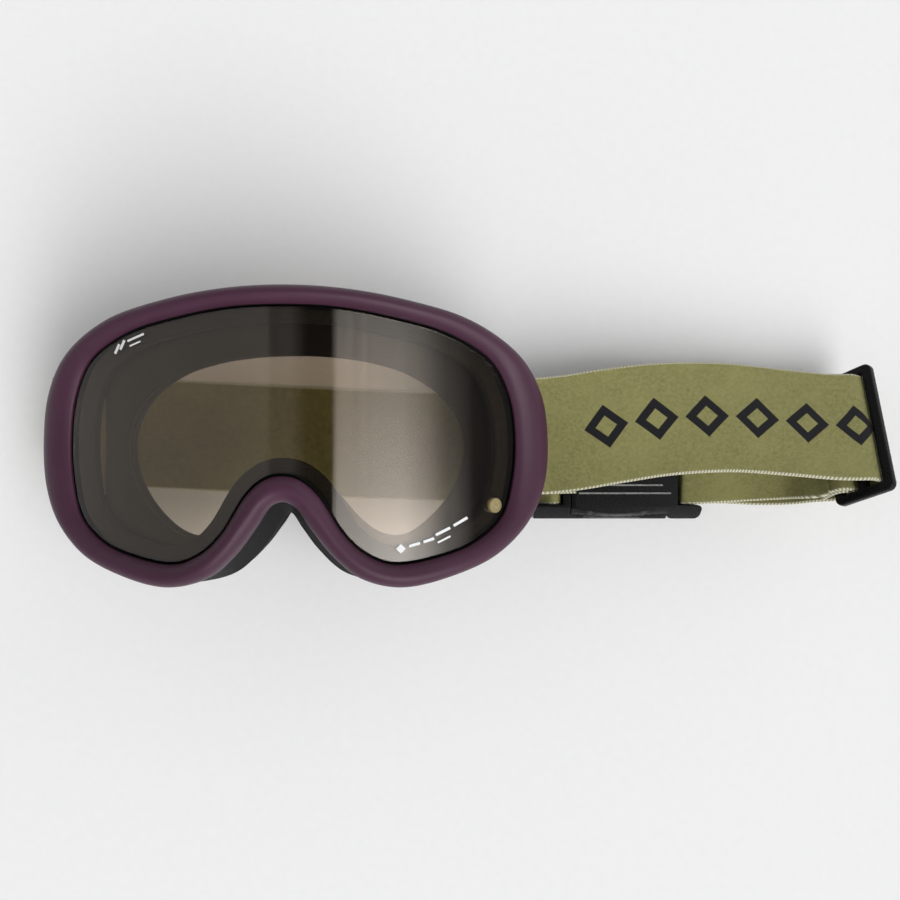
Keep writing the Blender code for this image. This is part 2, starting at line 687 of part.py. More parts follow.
def tilted(row):
    """Path row with the direction of the webbing's width in place of the tilt."""
    x, y, z, tilt = row
    angle = math.radians(tilt)
    return [x, y, z, 0.0, math.cos(angle), -math.sin(angle)]


def at_slider(across_by, up_by):
    """Path row at a place given in the slider's own axes."""
    across, along, normal = slider_axes()
    place = Vector(SLIDER_CENTRE) + across * across_by + normal * up_by
    return [*place, *(-along)]


def ribbon(name, rows, material):
    """Webbing swept along rows of centre and width direction."""
    path = spline_points(rows, STRAP_SAMPLES, closed=False)
    centre = path[:, :3]
    run = unit_rows(np.gradient(centre, axis=0))
    width = path[:, 3:]
    width = width - run * np.sum(width * run, axis=1)[:, None]
    width = unit_rows(width)
    normal = np.cross(run, width)
    half_width = width * STRAP_WIDTH / 2
    half_thick = normal * STRAP_THICKNESS / 2
    rings = [
        centre + half_width + half_thick,
        centre + half_width - half_thick,
        centre - half_width - half_thick,
        centre - half_width + half_thick,
    ]
    return loft(name, rings, material, around=False, capped=True)


def make_straps():
    ribbon("strap_left", [tilted(row) for row in LEFT_STRAP_PATH], "webbing_olive")
    rows = [tilted(row) for row in RIGHT_STRAP_START]
    rows += [at_slider(*place) for place in SLIDING_PLY]
    rows += [tilted(row) for row in RIGHT_STRAP_MIDDLE]
    rows += [at_slider(*place) for place in SEWN_PLY]
    ribbon("strap_right", rows, "webbing_olive")


def stand_on_origin():
    """Move every piece so the whole stands with its bottom centre at the origin."""
    bpy.context.view_layer.update()
    graph = bpy.context.evaluated_depsgraph_get()
    corners = []
    for obj in bpy.data.objects:
        mesh = obj.evaluated_get(graph).to_mesh()
        corners += [tuple(vert.co) for vert in mesh.vertices]
    corners = np.array(corners)
    low = corners.min(axis=0)
    high = corners.max(axis=0)
    shift = Vector(((low[0] + high[0]) / 2, (low[1] + high[1]) / 2, low[2]))
    for obj in bpy.data.objects:
        obj.data.transform(Matrix.Translation(-shift))
    return shift


def set_moving_origin(name):
    """Put a sliding piece's origin at its own middle, on its slide axis."""
    obj = bpy.data.objects[name]
    points = np.array([tuple(vert.co) for vert in obj.data.vertices])
    middle = Vector((points.min(axis=0) + points.max(axis=0)) / 2)
    obj.data.transform(Matrix.Translation(-middle))
    obj.location = middle


def clear_scene():
    for obj in list(bpy.data.objects):
        bpy.data.objects.remove(obj)
    collection = bpy.data.collections.new("ski_goggles")
    bpy.context.scene.collection.children.link(collection)


def main():
    clear_scene()
    make_materials()
    make_rim()
    make_chassis()
    make_outer_lens()
    make_gasket()
    make_inner_lens()
    make_valve()
    make_foam_layers()
    make_vent_foams()
    make_side_bars()
    make_straps()
    make_slider()
    make_clip_receiver()
    make_clip_plug()
    shift = stand_on_origin()
    print("moved by", [round(value / MM, 3) for value in shift])
    for name in ("strap_slider", "clip_plug"):
        set_moving_origin(name)


main()
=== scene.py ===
"""Looks for the ski goggles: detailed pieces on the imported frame, materials, light and camera.

Lengths in the shape tables are millimetres on the goggles' own axes, where x = 0 is the middle
of the frame and z = 0 is the table.  `place` turns them into metres in the frame's world.
"""
import math

import bmesh
import bpy
import numpy as np
from mathutils import Matrix, Vector


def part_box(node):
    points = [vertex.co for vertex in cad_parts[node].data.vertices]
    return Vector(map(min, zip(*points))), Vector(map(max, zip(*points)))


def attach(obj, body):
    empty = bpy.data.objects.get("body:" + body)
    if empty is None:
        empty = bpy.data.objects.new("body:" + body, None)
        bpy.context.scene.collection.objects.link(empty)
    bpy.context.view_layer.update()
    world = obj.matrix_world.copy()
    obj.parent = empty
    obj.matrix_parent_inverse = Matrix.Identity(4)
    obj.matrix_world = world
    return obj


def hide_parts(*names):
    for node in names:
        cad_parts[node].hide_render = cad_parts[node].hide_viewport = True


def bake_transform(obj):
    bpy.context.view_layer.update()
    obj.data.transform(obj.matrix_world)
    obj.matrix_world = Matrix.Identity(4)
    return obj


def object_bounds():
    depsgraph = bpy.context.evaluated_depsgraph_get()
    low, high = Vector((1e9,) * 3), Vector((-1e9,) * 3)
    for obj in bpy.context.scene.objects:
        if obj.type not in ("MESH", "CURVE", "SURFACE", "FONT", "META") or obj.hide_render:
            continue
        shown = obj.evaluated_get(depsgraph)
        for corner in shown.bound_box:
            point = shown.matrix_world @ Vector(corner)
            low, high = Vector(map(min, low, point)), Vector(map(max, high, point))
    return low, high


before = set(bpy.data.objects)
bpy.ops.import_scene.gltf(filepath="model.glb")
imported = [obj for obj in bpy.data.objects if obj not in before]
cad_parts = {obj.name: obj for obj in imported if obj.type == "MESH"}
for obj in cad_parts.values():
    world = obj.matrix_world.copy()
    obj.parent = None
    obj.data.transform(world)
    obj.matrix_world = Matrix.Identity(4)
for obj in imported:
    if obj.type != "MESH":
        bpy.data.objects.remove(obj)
CAD_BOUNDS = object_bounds()

MM = 0.001
# Clearance between parts that slide or plug together.
GAP = 0.3

FRONT_RADIUS = 125.0
FRONT_TOP_Z = 72.0
FACE_RADIUS = 130.0
FACE_TOP_Z = 50.0
STEPS_PER_SPAN = 8

# Right half of each outline, from the brow over the temple to the nose.
RIM_OUTER = [
    (0, 52.1), (20, 51.1), (40, 48.0), (60, 42.7), (76, 32.7), (84.4, 19.9), (87, 5), (86, -11),
    (80.1, -24.1), (69, -34.8), (54.6, -40.9), (39, -44), (26.1, -41.3), (17, -34.4),
    (9.6, -25.5), (4.8, -18.6), (0, -16.4),
]
RIM_INNER = [
    (0, 45.9), (17.5, 45.2), (35, 42.4), (52, 38.2), (66.5, 30.2), (73.3, 18.4), (75.5, 5), (74.8, -9),
    (71, -22), (61.4, -30.5), (49, -34.8), (36, -36.5), (26.7, -33.2), (19.2, -26.3),
    (12, -15), (6, -9.6), (0, -8.1),
]
FACE_OUTER = [
    (0, 50), (20, 49), (39, 46), (58, 40.7), (73, 31), (81, 18.5), (83, 4), (81.5, -11),
    (76, -23.5), (66, -34), (53, -41.2), (39, -44.2), (28, -43.6), (17.5, -40.3),
    (9.5, -33), (4.2, -26), (0, -20.6),
]
FACE_INNER = [
    (0, 31.1), (13, 30.6), (26, 28.8), (38, 25.2), (48.5, 18.5), (55, 10), (57, 1.5), (55.5, -8),
    (51, -16.5), (44.5, -23.5), (38.5, -27.6), (33, -28.7), (27, -26.5), (21.5, -21.5),
    (15.5, -14.5), (8, -8.5), (0, -6.5),
]

# Rim section: share of the way from the outer to the inner outline, and height off the wrap.
RIM_FRONT = [
    (-0.01, -4.4), (0.0, -1.6), (0.07, 0.4), (0.21, 1.9), (0.42, 2.7), (0.65, 2.3), (0.86, 0.9),
    (0.98, -0.9),
]
RIM_BACK = [
    (0.97, -1.9), (0.93, -2.3), (0.32, -2.4), (0.24, -2.7), (0.22, -7.2), (0.2, -7.5), (0.05, -7.5),
    (0.02, -7.2),
]

LENS_INSET = 0.8
LENS_THICKNESS = 1.2
LENS_DROP = 1.5
LENS_STRIP = 1.5
GASKET_SECTION = [
    (0.0, -3.2), (0.05, -3.0), (0.95, -3.0), (1.0, -3.3), (0.97, -4.5), (1.0, -5.7), (0.95, -6.0),
    (0.05, -6.0), (0.0, -5.8),
]
GASKET_INSETS = (1.4, 5.6)
INNER_LENS_INSET = 1.5
INNER_LENS_THICKNESS = 0.8
INNER_LENS_DROP = 6.3
VALVE_CENTRE = (68.6, -18.4)
VALVE_RADIUS = 2.5
VALVE_HOLE_RADIUS = 2.8
# Printed dashes on the lens: centre, length, width and turn in degrees, and both their heights.
MARK_HEIGHTS = (0.02, 0.08)
LENS_MARKS = [
    (-56.4, 33.0, 3.4, 0.9, 62), (-54.4, 34.2, 3.4, 0.9, 62), (-49.4, 36.4, 6.4, 0.7, 19),
    (-49.6, 34.4, 4.2, 0.5, 19), (37.6, -31.6, 2.2, 2.2, 45), (42.0, -30.4, 3.6, 0.9, 14),
    (46.6, -29.1, 3.6, 0.9, 17), (51.2, -26.4, 5.2, 0.9, 25), (57.0, -23.4, 5.2, 0.9, 29),
    (51.6, -29.0, 4.6, 0.6, 25),
]

# Chassis: the seat under the rim, the ledge that carries the lenses, the wall and the flange.
SEAT_HEIGHT = -3.0
SEAT_SHARES = (0.36, 0.97)
LEDGE_WIDTH = 4.6
LEDGE_HEIGHTS = (-7.5, -8.9)
WALL_TOP = (0.85, -9.3)
WALL_FOOT_HEIGHT = -8.6
WALL_BACK_SHARE = 0.18
FLANGE_INNER_SHARE = 0.98
FLANGE_THICKNESS = 1.5
FLANGE_EDGE = 2.0
FOAM_SHARES = (0.04, 0.93)
FOAM_LAYERS = [("foam_base", "face_foam_base", 0.3, 7.0), ("foam_middle", "face_foam_middle", 7.3, 12.7)]
FLEECE_DROPS = (13.0, 16.0)

# Vents over the brow and the cheeks: middles along X, width, height off the flange, reach in Y.
VENT_ROWS = [
    ((-51, -32, -11, 11, 32, 51), 15.0, 6.6, (30, 70)),
    ((-58, -43, 43, 58), 9.0, 6.2, (-60, -30)),
]
VENT_HEIGHT = 5.0
VENT_CORNER = 1.2
VENT_FOAM_THICKNESS = 2.4
# First and last sample of the outline behind each strip of vent foam.
VENT_FOAM_SPANS = {
    "vent_foam_brow": (-27, 27),
    "vent_foam_cheek_right": (72, 88),
    "vent_foam_cheek_left": (-88, -72),
}

STRAP_WIDTH = 41.0
STRAP_THICKNESS = 1.6
# Temple slots for the side bars: middle and width in Y, outline in XZ.
SIDE_SLOT_Y = 4.8
SIDE_SLOT_WIDTH = 42.8
SIDE_SLOT = [
    (64.8, 32.0), (68, 30.2), (72, 28.9), (79, 25.2), (92, 16), (92, 26), (80, 32.2), (75.5, 34.9),
    (68.5, 39.4), (64.8, 41),
]

CLIP_CENTRE_Y = 0.4
CLIP_WIDTH = 52.4
CLIP_HEIGHT = 8.2
CLIP_RAIL = 5.4
RECEIVER_X = (84.3, 97.6)
RECEIVER_BLOCK_X = 94.9
BASE_END_X = 133.9
BASE_HEIGHT = 4.1
PLUG_X = (98.0, 146.5)
PLUG_PLATE_END = 137.3
PLUG_PLATE_THICKNESS = 3.8
END_BLOCK_X = 134.2
END_BLOCK_WIDTH = 5.4
END_BLOCK_CORNER = 2.0
TONGUE_X = 95.8
TONGUE_WIDTH = 30.0
TONGUE_Z = (4.9, 6.9)
CLIP_BAR_RADIUS = 1.4
CLIP_BAR_Z = 4.1
RECEIVER_BAR_X = 91.0
PLUG_BAR_X = 141.8
# Sloped outer sides of the clip: full width, how much less in the middle, and where.
SLOPE_WIDTH = 4.6
SLOPE_DIP = 2.4
SLOPE_DIP_X = (92, 138)
SLOPE_X = (80, 150)
SLOPE_SAMPLES = 29
SLOPE_FOOT_Z = 1.4
# How far the cutting wedges reach past the clip's top and its sides.
SLOPE_PAST_TOP = 1.8
SLOPE_PAST_SIDE = 3.0
RIDGE_LENGTHS = (34, 28, 22, 16)
RIDGE_FIRST = 9.8
RIDGE_PITCH = 3.0
RIDGE_SIZE = (0.6, 0.4)

SLIDER_CENTRE = (198.1, 5.4, 21.0)
SLIDER_ACROSS = (0.62, 0.33, 0.71)
SLIDER_ALONG = (0.03, -0.92, 0.40)
SLIDER_LENGTH = 48.6
SLIDER_WIDTH = 22.8
SLIDER_THICKNESS = 3.2
SLIDER_BAR = 3.6
SLIDER_CORNER = 2.5
SLIDER_WINDOW_CORNER = 1.4
SLIDER_EDGE = 0.8

# Strap paths: centre x, y, z and the tilt of the webbing about X in degrees.
LEFT_STRAP_PATH = [
    (-86.5, 4.8, 24.2, 0), (-84.5, 4.8, 24.9, 0), (-81.3, 4.8, 26.3, 0), (-77.3, 4.8, 28.2, 0),
    (-73.3, 4.8, 30.8, 0), (-69.8, 4.8, 31.65, 0), (-68.1, 4.8, 32.3, 0), (-67.4, 4.8, 34.0, 0),
    (-68.1, 4.8, 35.7, 0), (-69.8, 4.8, 36.4, 0), (-71.6, 4.8, 35.6, 0), (-73.3, 4.8, 34.0, 0),
    (-77.3, 4.8, 30.9, 0), (-81.3, 4.8, 29.0, 0), (-84.9, 5.0, 27.4, 0),
    (-87.8, 5.4, 24.2, 0), (-89.0, 5.8, 18.0, 0), (-88.0, 6.2, 9.6, 0), (-84.8, 6.5, 4.6, 0),
    (-78, 6.5, 2.2, 0), (-60, 6.2, 1.2, 0), (-20, 4.2, 1.1, 0), (30, 1.8, 1.1, 0),
    (70, 0.9, 1.1, 0), (84.5, 0.4, 1.1, 0), (91.0, 0.4, 1.5, 0), (92.85, 0.4, 2.25, 0),
    (93.6, 0.4, 4.1, 0), (92.85, 0.4, 5.95, 0), (91.0, 0.4, 6.7, 0), (88.8, 0.4, 5.3, 0),
    (86.5, 0.4, 3.4, 0), (85.0, 0.4, 3.0, 0), (82.0, 0.4, 2.95, 0),
]
RIGHT_STRAP_UPPER = [
    (97, 5.2, 26.6, 3), (91, 5.0, 25.7, 1), (86, 4.8, 25.4, 0), (81.3, 4.8, 26.0, 0),
    (77.3, 4.8, 28.0, 0), (73.3, 4.8, 30.8, 0), (69.8, 4.8, 31.65, 0), (68.1, 4.8, 32.3, 0),
    (67.4, 4.8, 34.0, 0), (68.1, 4.8, 35.7, 0), (69.8, 4.8, 36.4, 0), (71.6, 4.8, 35.6, 0),
    (73.3, 4.8, 34.0, 0), (77.3, 4.8, 30.8, 0), (81.3, 4.9, 28.9, 0),
    (87, 5.2, 28.5, 0), (97, 6.4, 29.6, 4), (110, 8.6, 30.6, 9), (128, 11.0, 30.4, 15),
    (150, 11.7, 29.6, 20), (172, 9.9, 28.8, 23), (186, 8.6, 28.5, 23.5),
]
# Webbing through the slider: distance across it from the middle bar, height off it.
SLIDING_PLY = [
    (3.0, 8.8), (5.9, 4.6), (6.5, 0.4), (5.0, -3.3), (1.4, -4.5), (-2.2, -3.4), (-3.6, 0.2),
    (-4.7, 3.4), (-6.7, 5.5), (-10, 6.0), (-13.5, 5.4),
]
RIGHT_STRAP_MIDDLE = [
    (177, 2.3, 10.3, 10), (164, 1.7, 8.8, 2), (151, 0.9, 8.4, 0), (141.8, 0.4, 6.7, 0),
    (139.95, 0.4, 5.95, 0), (139.2, 0.4, 4.1, 0), (139.95, 0.4, 2.25, 0), (141.8, 0.4, 1.5, 0),
    (150, 0.4, 1.1, 0), (158, 0.3, 1.1, 0), (168, -0.1, 1.9, 1), (178, 0.1, 4.8, 8),
    (186, 0.5, 7.8, 18),
]
# Webbing sewn round the slider's other bar, given in the same way.
SEWN_PLY = [
    (-10.2, -4.7), (-6.9, -2.75), (-5.85, 0), (-6.95, 2.5), (-9.6, 3.5), (-12.8, 2.9), (-15.6, 2.0),
]
STRAP_SAMPLES = 8
# Points of SLIDING_PLY in the upper run, and the rows of RIGHT_STRAP_MIDDLE at the clip loop's ends.
UPPER_RUN_PLIES = 4
CLIP_LOOP_ROWS = (1, 9)

# Webbing surface, in metres: rib, yarn and edge stitch pitches, and where the edge begins.
RIB_PITCH = 0.00085
YARN_PITCH = 0.0011
STITCH_PITCH = 0.0012
STITCHED_EDGE = (0.01965, 0.0199)
# Woven diamonds, in metres: first one, spacing, half size, half size of the hole, soft edge.
PATTERN_START = 0.008
PATTERN_PITCH = 0.0178
PATTERN_REACH = 0.0076
PATTERN_HOLE = 0.0036
PATTERN_BLUR = 0.0003
PATTERN_COUNT = 7

# Floor in metres; strengths and shade of the sky.
FLOOR_REACH = 2.5
FLOOR_DROP = 0.0001
PANEL_STRENGTH = 5.9
WALL_STRENGTH = 1.1
BACKDROP_GREY = (0.8, 0.8, 0.8)

# Camera: straight above, looking down, to one side of the goggles' middle.
CAMERA_X = 52.9
CAMERA_HEIGHT = 422.0
CAMERA_LENS = 44.7
CAMERA_SENSOR = 36.0


def frame_offset():
    """World place of the point where the shape tables have x = y = z = 0, in metres."""
    rim_low, rim_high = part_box("frame_rim")
    clip_low, clip_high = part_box("clip_receiver")
    x = (rim_low[0] + rim_high[0]) / 2
    y = (clip_low[1] + clip_high[1]) / 2 - CLIP_CENTRE_Y * MM
    return np.array([x, y, clip_low[2]])


OFFSET = frame_offset()


def place(points):
    return np.asarray(points, dtype=float) * MM + OFFSET


# ---- shapes


def spline_points(controls, per_span, closed):
    """Catmull-Rom curve through rows of numbers, as an array of rows."""
    rows = np.array(controls, dtype=float)
    count = len(rows)
    spans = count if closed else count - 1
    curve = []
    for span in range(spans):
        ids = [span - 1, span, span + 1, span + 2]
        if closed:
            ids = [index % count for index in ids]
        else:
            ids = [min(max(index, 0), count - 1) for index in ids]
        before, start, end, after = (rows[index] for index in ids)
        for step in range(per_span):
            t = step / per_span
            curve.append(
                0.5 * (2 * start + (end - before) * t
                       + (2 * before - 5 * start + 4 * end - after) * t ** 2
                       + (3 * start - before - 3 * end + after) * t ** 3)
            )
    if not closed:
        curve.append(rows[-1])
    return np.array(curve)


def full_outline(half):
    left = [(-x, y) for x, y in half[-2:0:-1]]
    return spline_points(half + left, STEPS_PER_SPAN, closed=True)


def sag(x, radius):
    return radius - np.sqrt(radius * radius - x * x)


def unit_rows(rows):
    return rows / np.linalg.norm(rows, axis=1)[:, None]


def inset_outline(outline, distance):
    run = unit_rows(np.roll(outline, -1, axis=0) - np.roll(outline, 1, axis=0))
    return outline + np.stack([run[:, 1], -run[:, 0]], axis=1) * distance


def on_front(outline):
    return np.column_stack([outline, FRONT_TOP_Z - sag(outline[:, 0], FRONT_RADIUS)])


def on_lens(x, y, rise):
    """Point at a height off the front wrap, square to it."""
    lean = math.asin(x / FRONT_RADIUS)
    z = FRONT_TOP_Z - sag(x, FRONT_RADIUS) + rise * math.cos(lean)
    return place([x + rise * math.sin(lean), y, z])


def front_ring(outer, inner, share, height):
    """Ring part-way between two outlines, lifted square to the band between them."""
    outside = on_front(outer)
    across = on_front(inner) - outside
    run = np.roll(outside, -1, axis=0) - np.roll(outside, 1, axis=0)
    normal = unit_rows(np.cross(across, run))
    normal *= np.sign(normal[:, 2])[:, None]
    return outside + across * share + normal * height


def face_ring(share, drop):
    outline = full_outline(FACE_OUTER) * (1 - share) + full_outline(FACE_INNER) * share
    return np.column_stack([outline, FACE_TOP_Z - sag(outline[:, 0], FACE_RADIUS) - drop])


def seat_ring(share, height):
    return front_ring(full_outline(RIM_OUTER), full_outline(RIM_INNER), share, height)


def finish_mesh(mesh, sharp_angle):
    """Face everything outward, shade smooth and keep edges steeper than the angle."""
    work = bmesh.new()
    work.from_mesh(mesh)
    bmesh.ops.recalc_face_normals(work, faces=work.faces)
    if work.calc_volume(signed=True) < 0:
        bmesh.ops.reverse_faces(work, faces=work.faces)
    for face in work.faces:
        face.smooth = True
    work.to_mesh(mesh)
    work.free()
    mesh.set_sharp_from_angle(angle=math.radians(sharp_angle))


def new_piece(name, mesh, material):
    mesh.materials.append(material)
    obj = bpy.data.objects.new(name, mesh)
    bpy.context.scene.collection.objects.link(obj)
    return obj


def solid(name, points, faces, material, sharp_angle):
    """Piece from points in the frame's world, in metres, and the faces between them."""
    mesh = bpy.data.meshes.new(name)
    mesh.from_pydata([tuple(point) for point in points], [], faces)
    finish_mesh(mesh, sharp_angle)
    return new_piece(name, mesh, material)


def stand_in(piece, node, body="goggles"):
    """Put a detailed piece in the place of a CAD node, on the same body."""
    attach(piece, body)
    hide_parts(node)


def grid_faces(rows, columns, close_rows=False, close_columns=True):
    """Faces between neighbouring points of a grid, which may close on itself either way."""
    faces = []
    for row in range(rows if close_rows else rows - 1):
        following = (row + 1) % rows
        for column in range(columns if close_columns else columns - 1):
            right = (column + 1) % columns
            faces.append((row * columns + column, row * columns + right,
                          following * columns + right, following * columns + column))
    return faces


def tube_faces(rows, columns):
    """Grid closed into a tube, with its first and last row as end faces."""
    last = (rows - 1) * columns
    ends = [tuple(range(columns)), tuple(last + column for column in reversed(range(columns)))]
    return grid_faces(rows, columns) + ends


def loft(name, rings, material, around=True, sharp_angle=45.0):
    """Solid from a closed section of rings, each joined end to end or else with its ends capped."""
    section = len(rings)
    length = len(rings[0])
    points = [point for ring in rings for point in place(ring)]
    faces = grid_faces(section, length, close_rows=True, close_columns=around)
    if not around:
        faces.append(tuple(row * length for row in range(section)))
        faces.append(tuple(row * length + length - 1 for row in reversed(range(section))))
    return solid(name, points, faces, material, sharp_angle)


def prism(name, outline, span, material, axis="Y"):
    """Solid with an outline in XZ running along Y, or in XY running along Z."""
    count = len(outline)
    if axis == "Y":
        rows = [(a, level, b) for level in span for a, b in outline]
    else:
        rows = [(a, b, level) for level in span for a, b in outline]
    return solid(name, place(rows), tube_faces(2, count), material, 30.0)


def box(name, low, high, material):
    outline = [(low[0], low[2]), (high[0], low[2]), (high[0], high[2]), (low[0], high[2])]
    return prism(name, outline, (low[1], high[1]), material)


def rounded_rectangle(width, length, corner, centre=(0.0, 0.0), steps=5):
    points = []
    for quarter, (side_x, side_y) in enumerate(((1, 1), (-1, 1), (-1, -1), (1, -1))):
        for step in range(steps + 1):
            angle = math.pi / 2 * (quarter + step / steps)
            points.append((centre[0] + side_x * (width / 2 - corner) + corner * math.cos(angle),
                           centre[1] + side_y * (length / 2 - corner) + corner * math.sin(angle)))
    return points


def circle(radius, sides):
    angles = [2 * math.pi * step / sides for step in range(sides)]
    return [(radius * math.cos(angle), radius * math.sin(angle)) for angle in angles]


def baked(obj):
    """Replace an object's mesh with the result of its modifiers."""
    evaluated = obj.evaluated_get(bpy.context.evaluated_depsgraph_get())
    result = bpy.data.meshes.new_from_object(evaluated)
    obj.modifiers.clear()
    obj.data = result
    return obj


def combine(obj, tools, operation):
    for tool in tools:
        step = obj.modifiers.new("step", "BOOLEAN")
        step.operation = operation
        step.solver = "EXACT"
        step.material_mode = "TRANSFER"
        step.object = tool
        baked(obj)
        bpy.data.objects.remove(tool)
    return obj


def merge_close(obj, distance=0.02):
    work = bmesh.new()
    work.from_mesh(obj.data)
    bmesh.ops.remove_doubles(work, verts=work.verts, dist=distance * MM)
    bmesh.ops.dissolve_degenerate(work, edges=work.edges, dist=distance * MM)
    work.to_mesh(obj.data)
    work.free()
    return obj


def soften(obj, width, segments=3, angle=40.0):
    """Round the edges of a hard plastic piece."""
    bevel = obj.modifiers.new("bevel", "BEVEL")
    bevel.width = width * MM
    bevel.segments = segments
    bevel.limit_method = "ANGLE"
    bevel.angle_limit = math.radians(angle)
    baked(obj)
    finish_mesh(obj.data, 40.0)
    return obj


# ---- materials


def new_material(name, colour, roughness):
    material = bpy.data.materials.new(name)
    material.use_nodes = True
    shader = material.node_tree.nodes["Principled BSDF"]
    shader.inputs["Base Color"].default_value = (*colour, 1.0)
    shader.inputs["Roughness"].default_value = roughness
    return material, material.node_tree, shader


def add_node(tree, kind, inputs=None, **settings):
    """New node; each input, by name or number, is linked to a socket or set to a constant."""
    node = tree.nodes.new(kind)
    for name, value in settings.items():
        setattr(node, name, value)
    for key, value in (inputs or {}).items():
        if isinstance(value, bpy.types.NodeSocket):
            tree.links.new(value, node.inputs[key])
        elif isinstance(value, tuple):
            node.inputs[key].default_value = (*value, 1.0)
        else:
            node.inputs[key].default_value = value
    return node


def object_noise(tree, scale, detail=3.0, roughness=0.5):
    """Noise in the object's own coordinates; scale is in features per metre."""
    where = add_node(tree, "ShaderNodeTexCoord")
    noise = add_node(tree, "ShaderNodeTexNoise", {
        "Vector": where.outputs["Object"], "Scale": scale, "Detail": detail, "Roughness": roughness})
    return noise.outputs["Fac"]


def colour_ramp(tree, source, stops):
    """Ramp over a source from pairs of a position and a colour."""
    ramp = add_node(tree, "ShaderNodeValToRGB", {"Fac": source})
    elements = ramp.color_ramp.elements
    elements[0].position = stops[0][0]
    elements[1].position = stops[-1][0]
    for position, _ in stops[1:-1]:
        elements.new(position)
    for element, (_, colour) in zip(elements, stops):
        element.color = (*colour, 1.0)
    return ramp.outputs["Color"]


def paint(tree, shader, source, stops):
    """Base colour from a ramp over the source."""
    tree.links.new(colour_ramp(tree, source, stops), shader.inputs["Base Color"])


def value_range(tree, source, low, high, new_low, new_high):
    step = add_node(tree, "ShaderNodeMapRange", {
        "Value": source, "From Min": low, "From Max": high, "To Min": new_low, "To Max": new_high})
    return step.outputs["Result"]


def math_node(tree, operation, *values):
    node = add_node(tree, "ShaderNodeMath", dict(enumerate(values)), operation=operation)
    return node.outputs["Value"]


def wave(tree, source, pitch):
    turns = math_node(tree, "MULTIPLY", source, 2 * math.pi / pitch)
    return math_node(tree, "SINE", turns)


def vector_node(tree, operation, first, second):
    """Vector maths on two sockets, or on a socket and the number that scales it."""
    key = "Scale" if operation == "SCALE" else 1
    node = add_node(tree, "ShaderNodeVectorMath", {0: first, key: second}, operation=operation)
    return node.outputs["Vector"]


def mix_colours(tree, factor, first, second, blend="MIX"):
    mix = add_node(tree, "ShaderNodeMix", data_type="RGBA", blend_type=blend, inputs={
        "Factor": factor, 6: first, 7: second})
    return mix.outputs[2]


def add_bump(tree, shader, height, strength, distance_mm):
    bump = add_node(tree, "ShaderNodeBump", {
        "Height": height, "Strength": strength, "Distance": distance_mm * MM})
    tree.links.new(bump.outputs["Normal"], shader.inputs["Normal"])


def rim_material():
    """Smooth soft-touch plastic: faint cloudy colour and a very fine moulded grain."""
    material, tree, shader = new_material("rim_plum", (0.05, 0.0145, 0.034), 0.46)
    shader.inputs["Specular IOR Level"].default_value = 0.32
    cloud = object_noise(tree, 35, 4)
    paint(tree, shader, cloud, [(0.3, (0.043, 0.0115, 0.028)), (0.7, (0.057, 0.0165, 0.039))])
    grain = object_noise(tree, 2600, 2)
    tree.links.new(value_range(tree, grain, 0.3, 0.7, 0.42, 0.56), shader.inputs["Roughness"])
    add_bump(tree, shader, grain, 0.12, 0.02)
    return material


def plastic_material(name, shade, roughness, gloss, grain_scale):
    """Moulded black plastic with spark-eroded grain and slightly rubbed colour."""
    material, tree, shader = new_material(name, shade, roughness)
    shader.inputs["Specular IOR Level"].default_value = gloss
    cloud = object_noise(tree, 60, 4)
    lighter = tuple(channel * 1.35 for channel in shade)
    paint(tree, shader, cloud, [(0.35, shade), (0.75, lighter)])
    grain = object_noise(tree, grain_scale, 3)
    spread = value_range(tree, grain, 0.3, 0.7, roughness - 0.06, roughness + 0.08)
    tree.links.new(spread, shader.inputs["Roughness"])
    add_bump(tree, shader, grain, 0.27, 0.04)
    return material


def lens_material(name, clear_tint, mirror_colour, mirror_share):
    """See-through sheet: tinted where light passes, with a share that it mirrors."""
    material, tree, shader = new_material(name, mirror_colour, 0.03)
    shader.inputs["Metallic"].default_value = 1.0
    clear = add_node(tree, "ShaderNodeBsdfTransparent", {"Color": clear_tint})
    layer = add_node(tree, "ShaderNodeLayerWeight")
    grazing = math_node(tree, "POWER", layer.outputs["Facing"], 5.0)
    share = value_range(tree, grazing, 0, 1, mirror_share, 0.9)
    mix = add_node(tree, "ShaderNodeMixShader", {
        "Fac": share, 1: clear.outputs["BSDF"], 2: shader.outputs["BSDF"]})
    tree.links.new(mix.outputs["Shader"], tree.nodes["Material Output"].inputs["Surface"])
    return material


def foam_material(name, shade, pore_scale, depth_mm):
    """Open-cell foam: painted shade darkens the pores, and the raised cell walls are lighter."""
    material, tree, shader = new_material(name, shade, 0.95)
    shader.inputs["Specular IOR Level"].default_value = 0.1
    where = add_node(tree, "ShaderNodeTexCoord")
    cells = add_node(tree, "ShaderNodeTexVoronoi", {
        "Vector": where.outputs["Object"], "Scale": pore_scale})
    pores = cells.outputs["Distance"]
    # Painted shade: the colour darkens into the hollow pores and lightens towards the raised cell walls.
    pore_shade = tuple(channel * 0.35 for channel in shade)
    light = tuple(channel * 1.5 for channel in shade)
    paint(tree, shader, pores, [(0.05, pore_shade), (0.35, shade), (0.8, light)])
    add_bump(tree, shader, pores, 0.7, depth_mm)
    return material


def fleece_material():
    material, tree, shader = new_material("fleece_black", (0.010, 0.010, 0.011), 1.0)
    shader.inputs["Sheen Weight"].default_value = 0.25
    shader.inputs["Sheen Roughness"].default_value = 0.5
    fluff = object_noise(tree, 1400, 6, 0.7)
    paint(tree, shader, fluff, [(0.3, (0.006, 0.006, 0.007)), (0.75, (0.022, 0.022, 0.024))])
    add_bump(tree, shader, fluff, 0.8, 0.5)
    return material


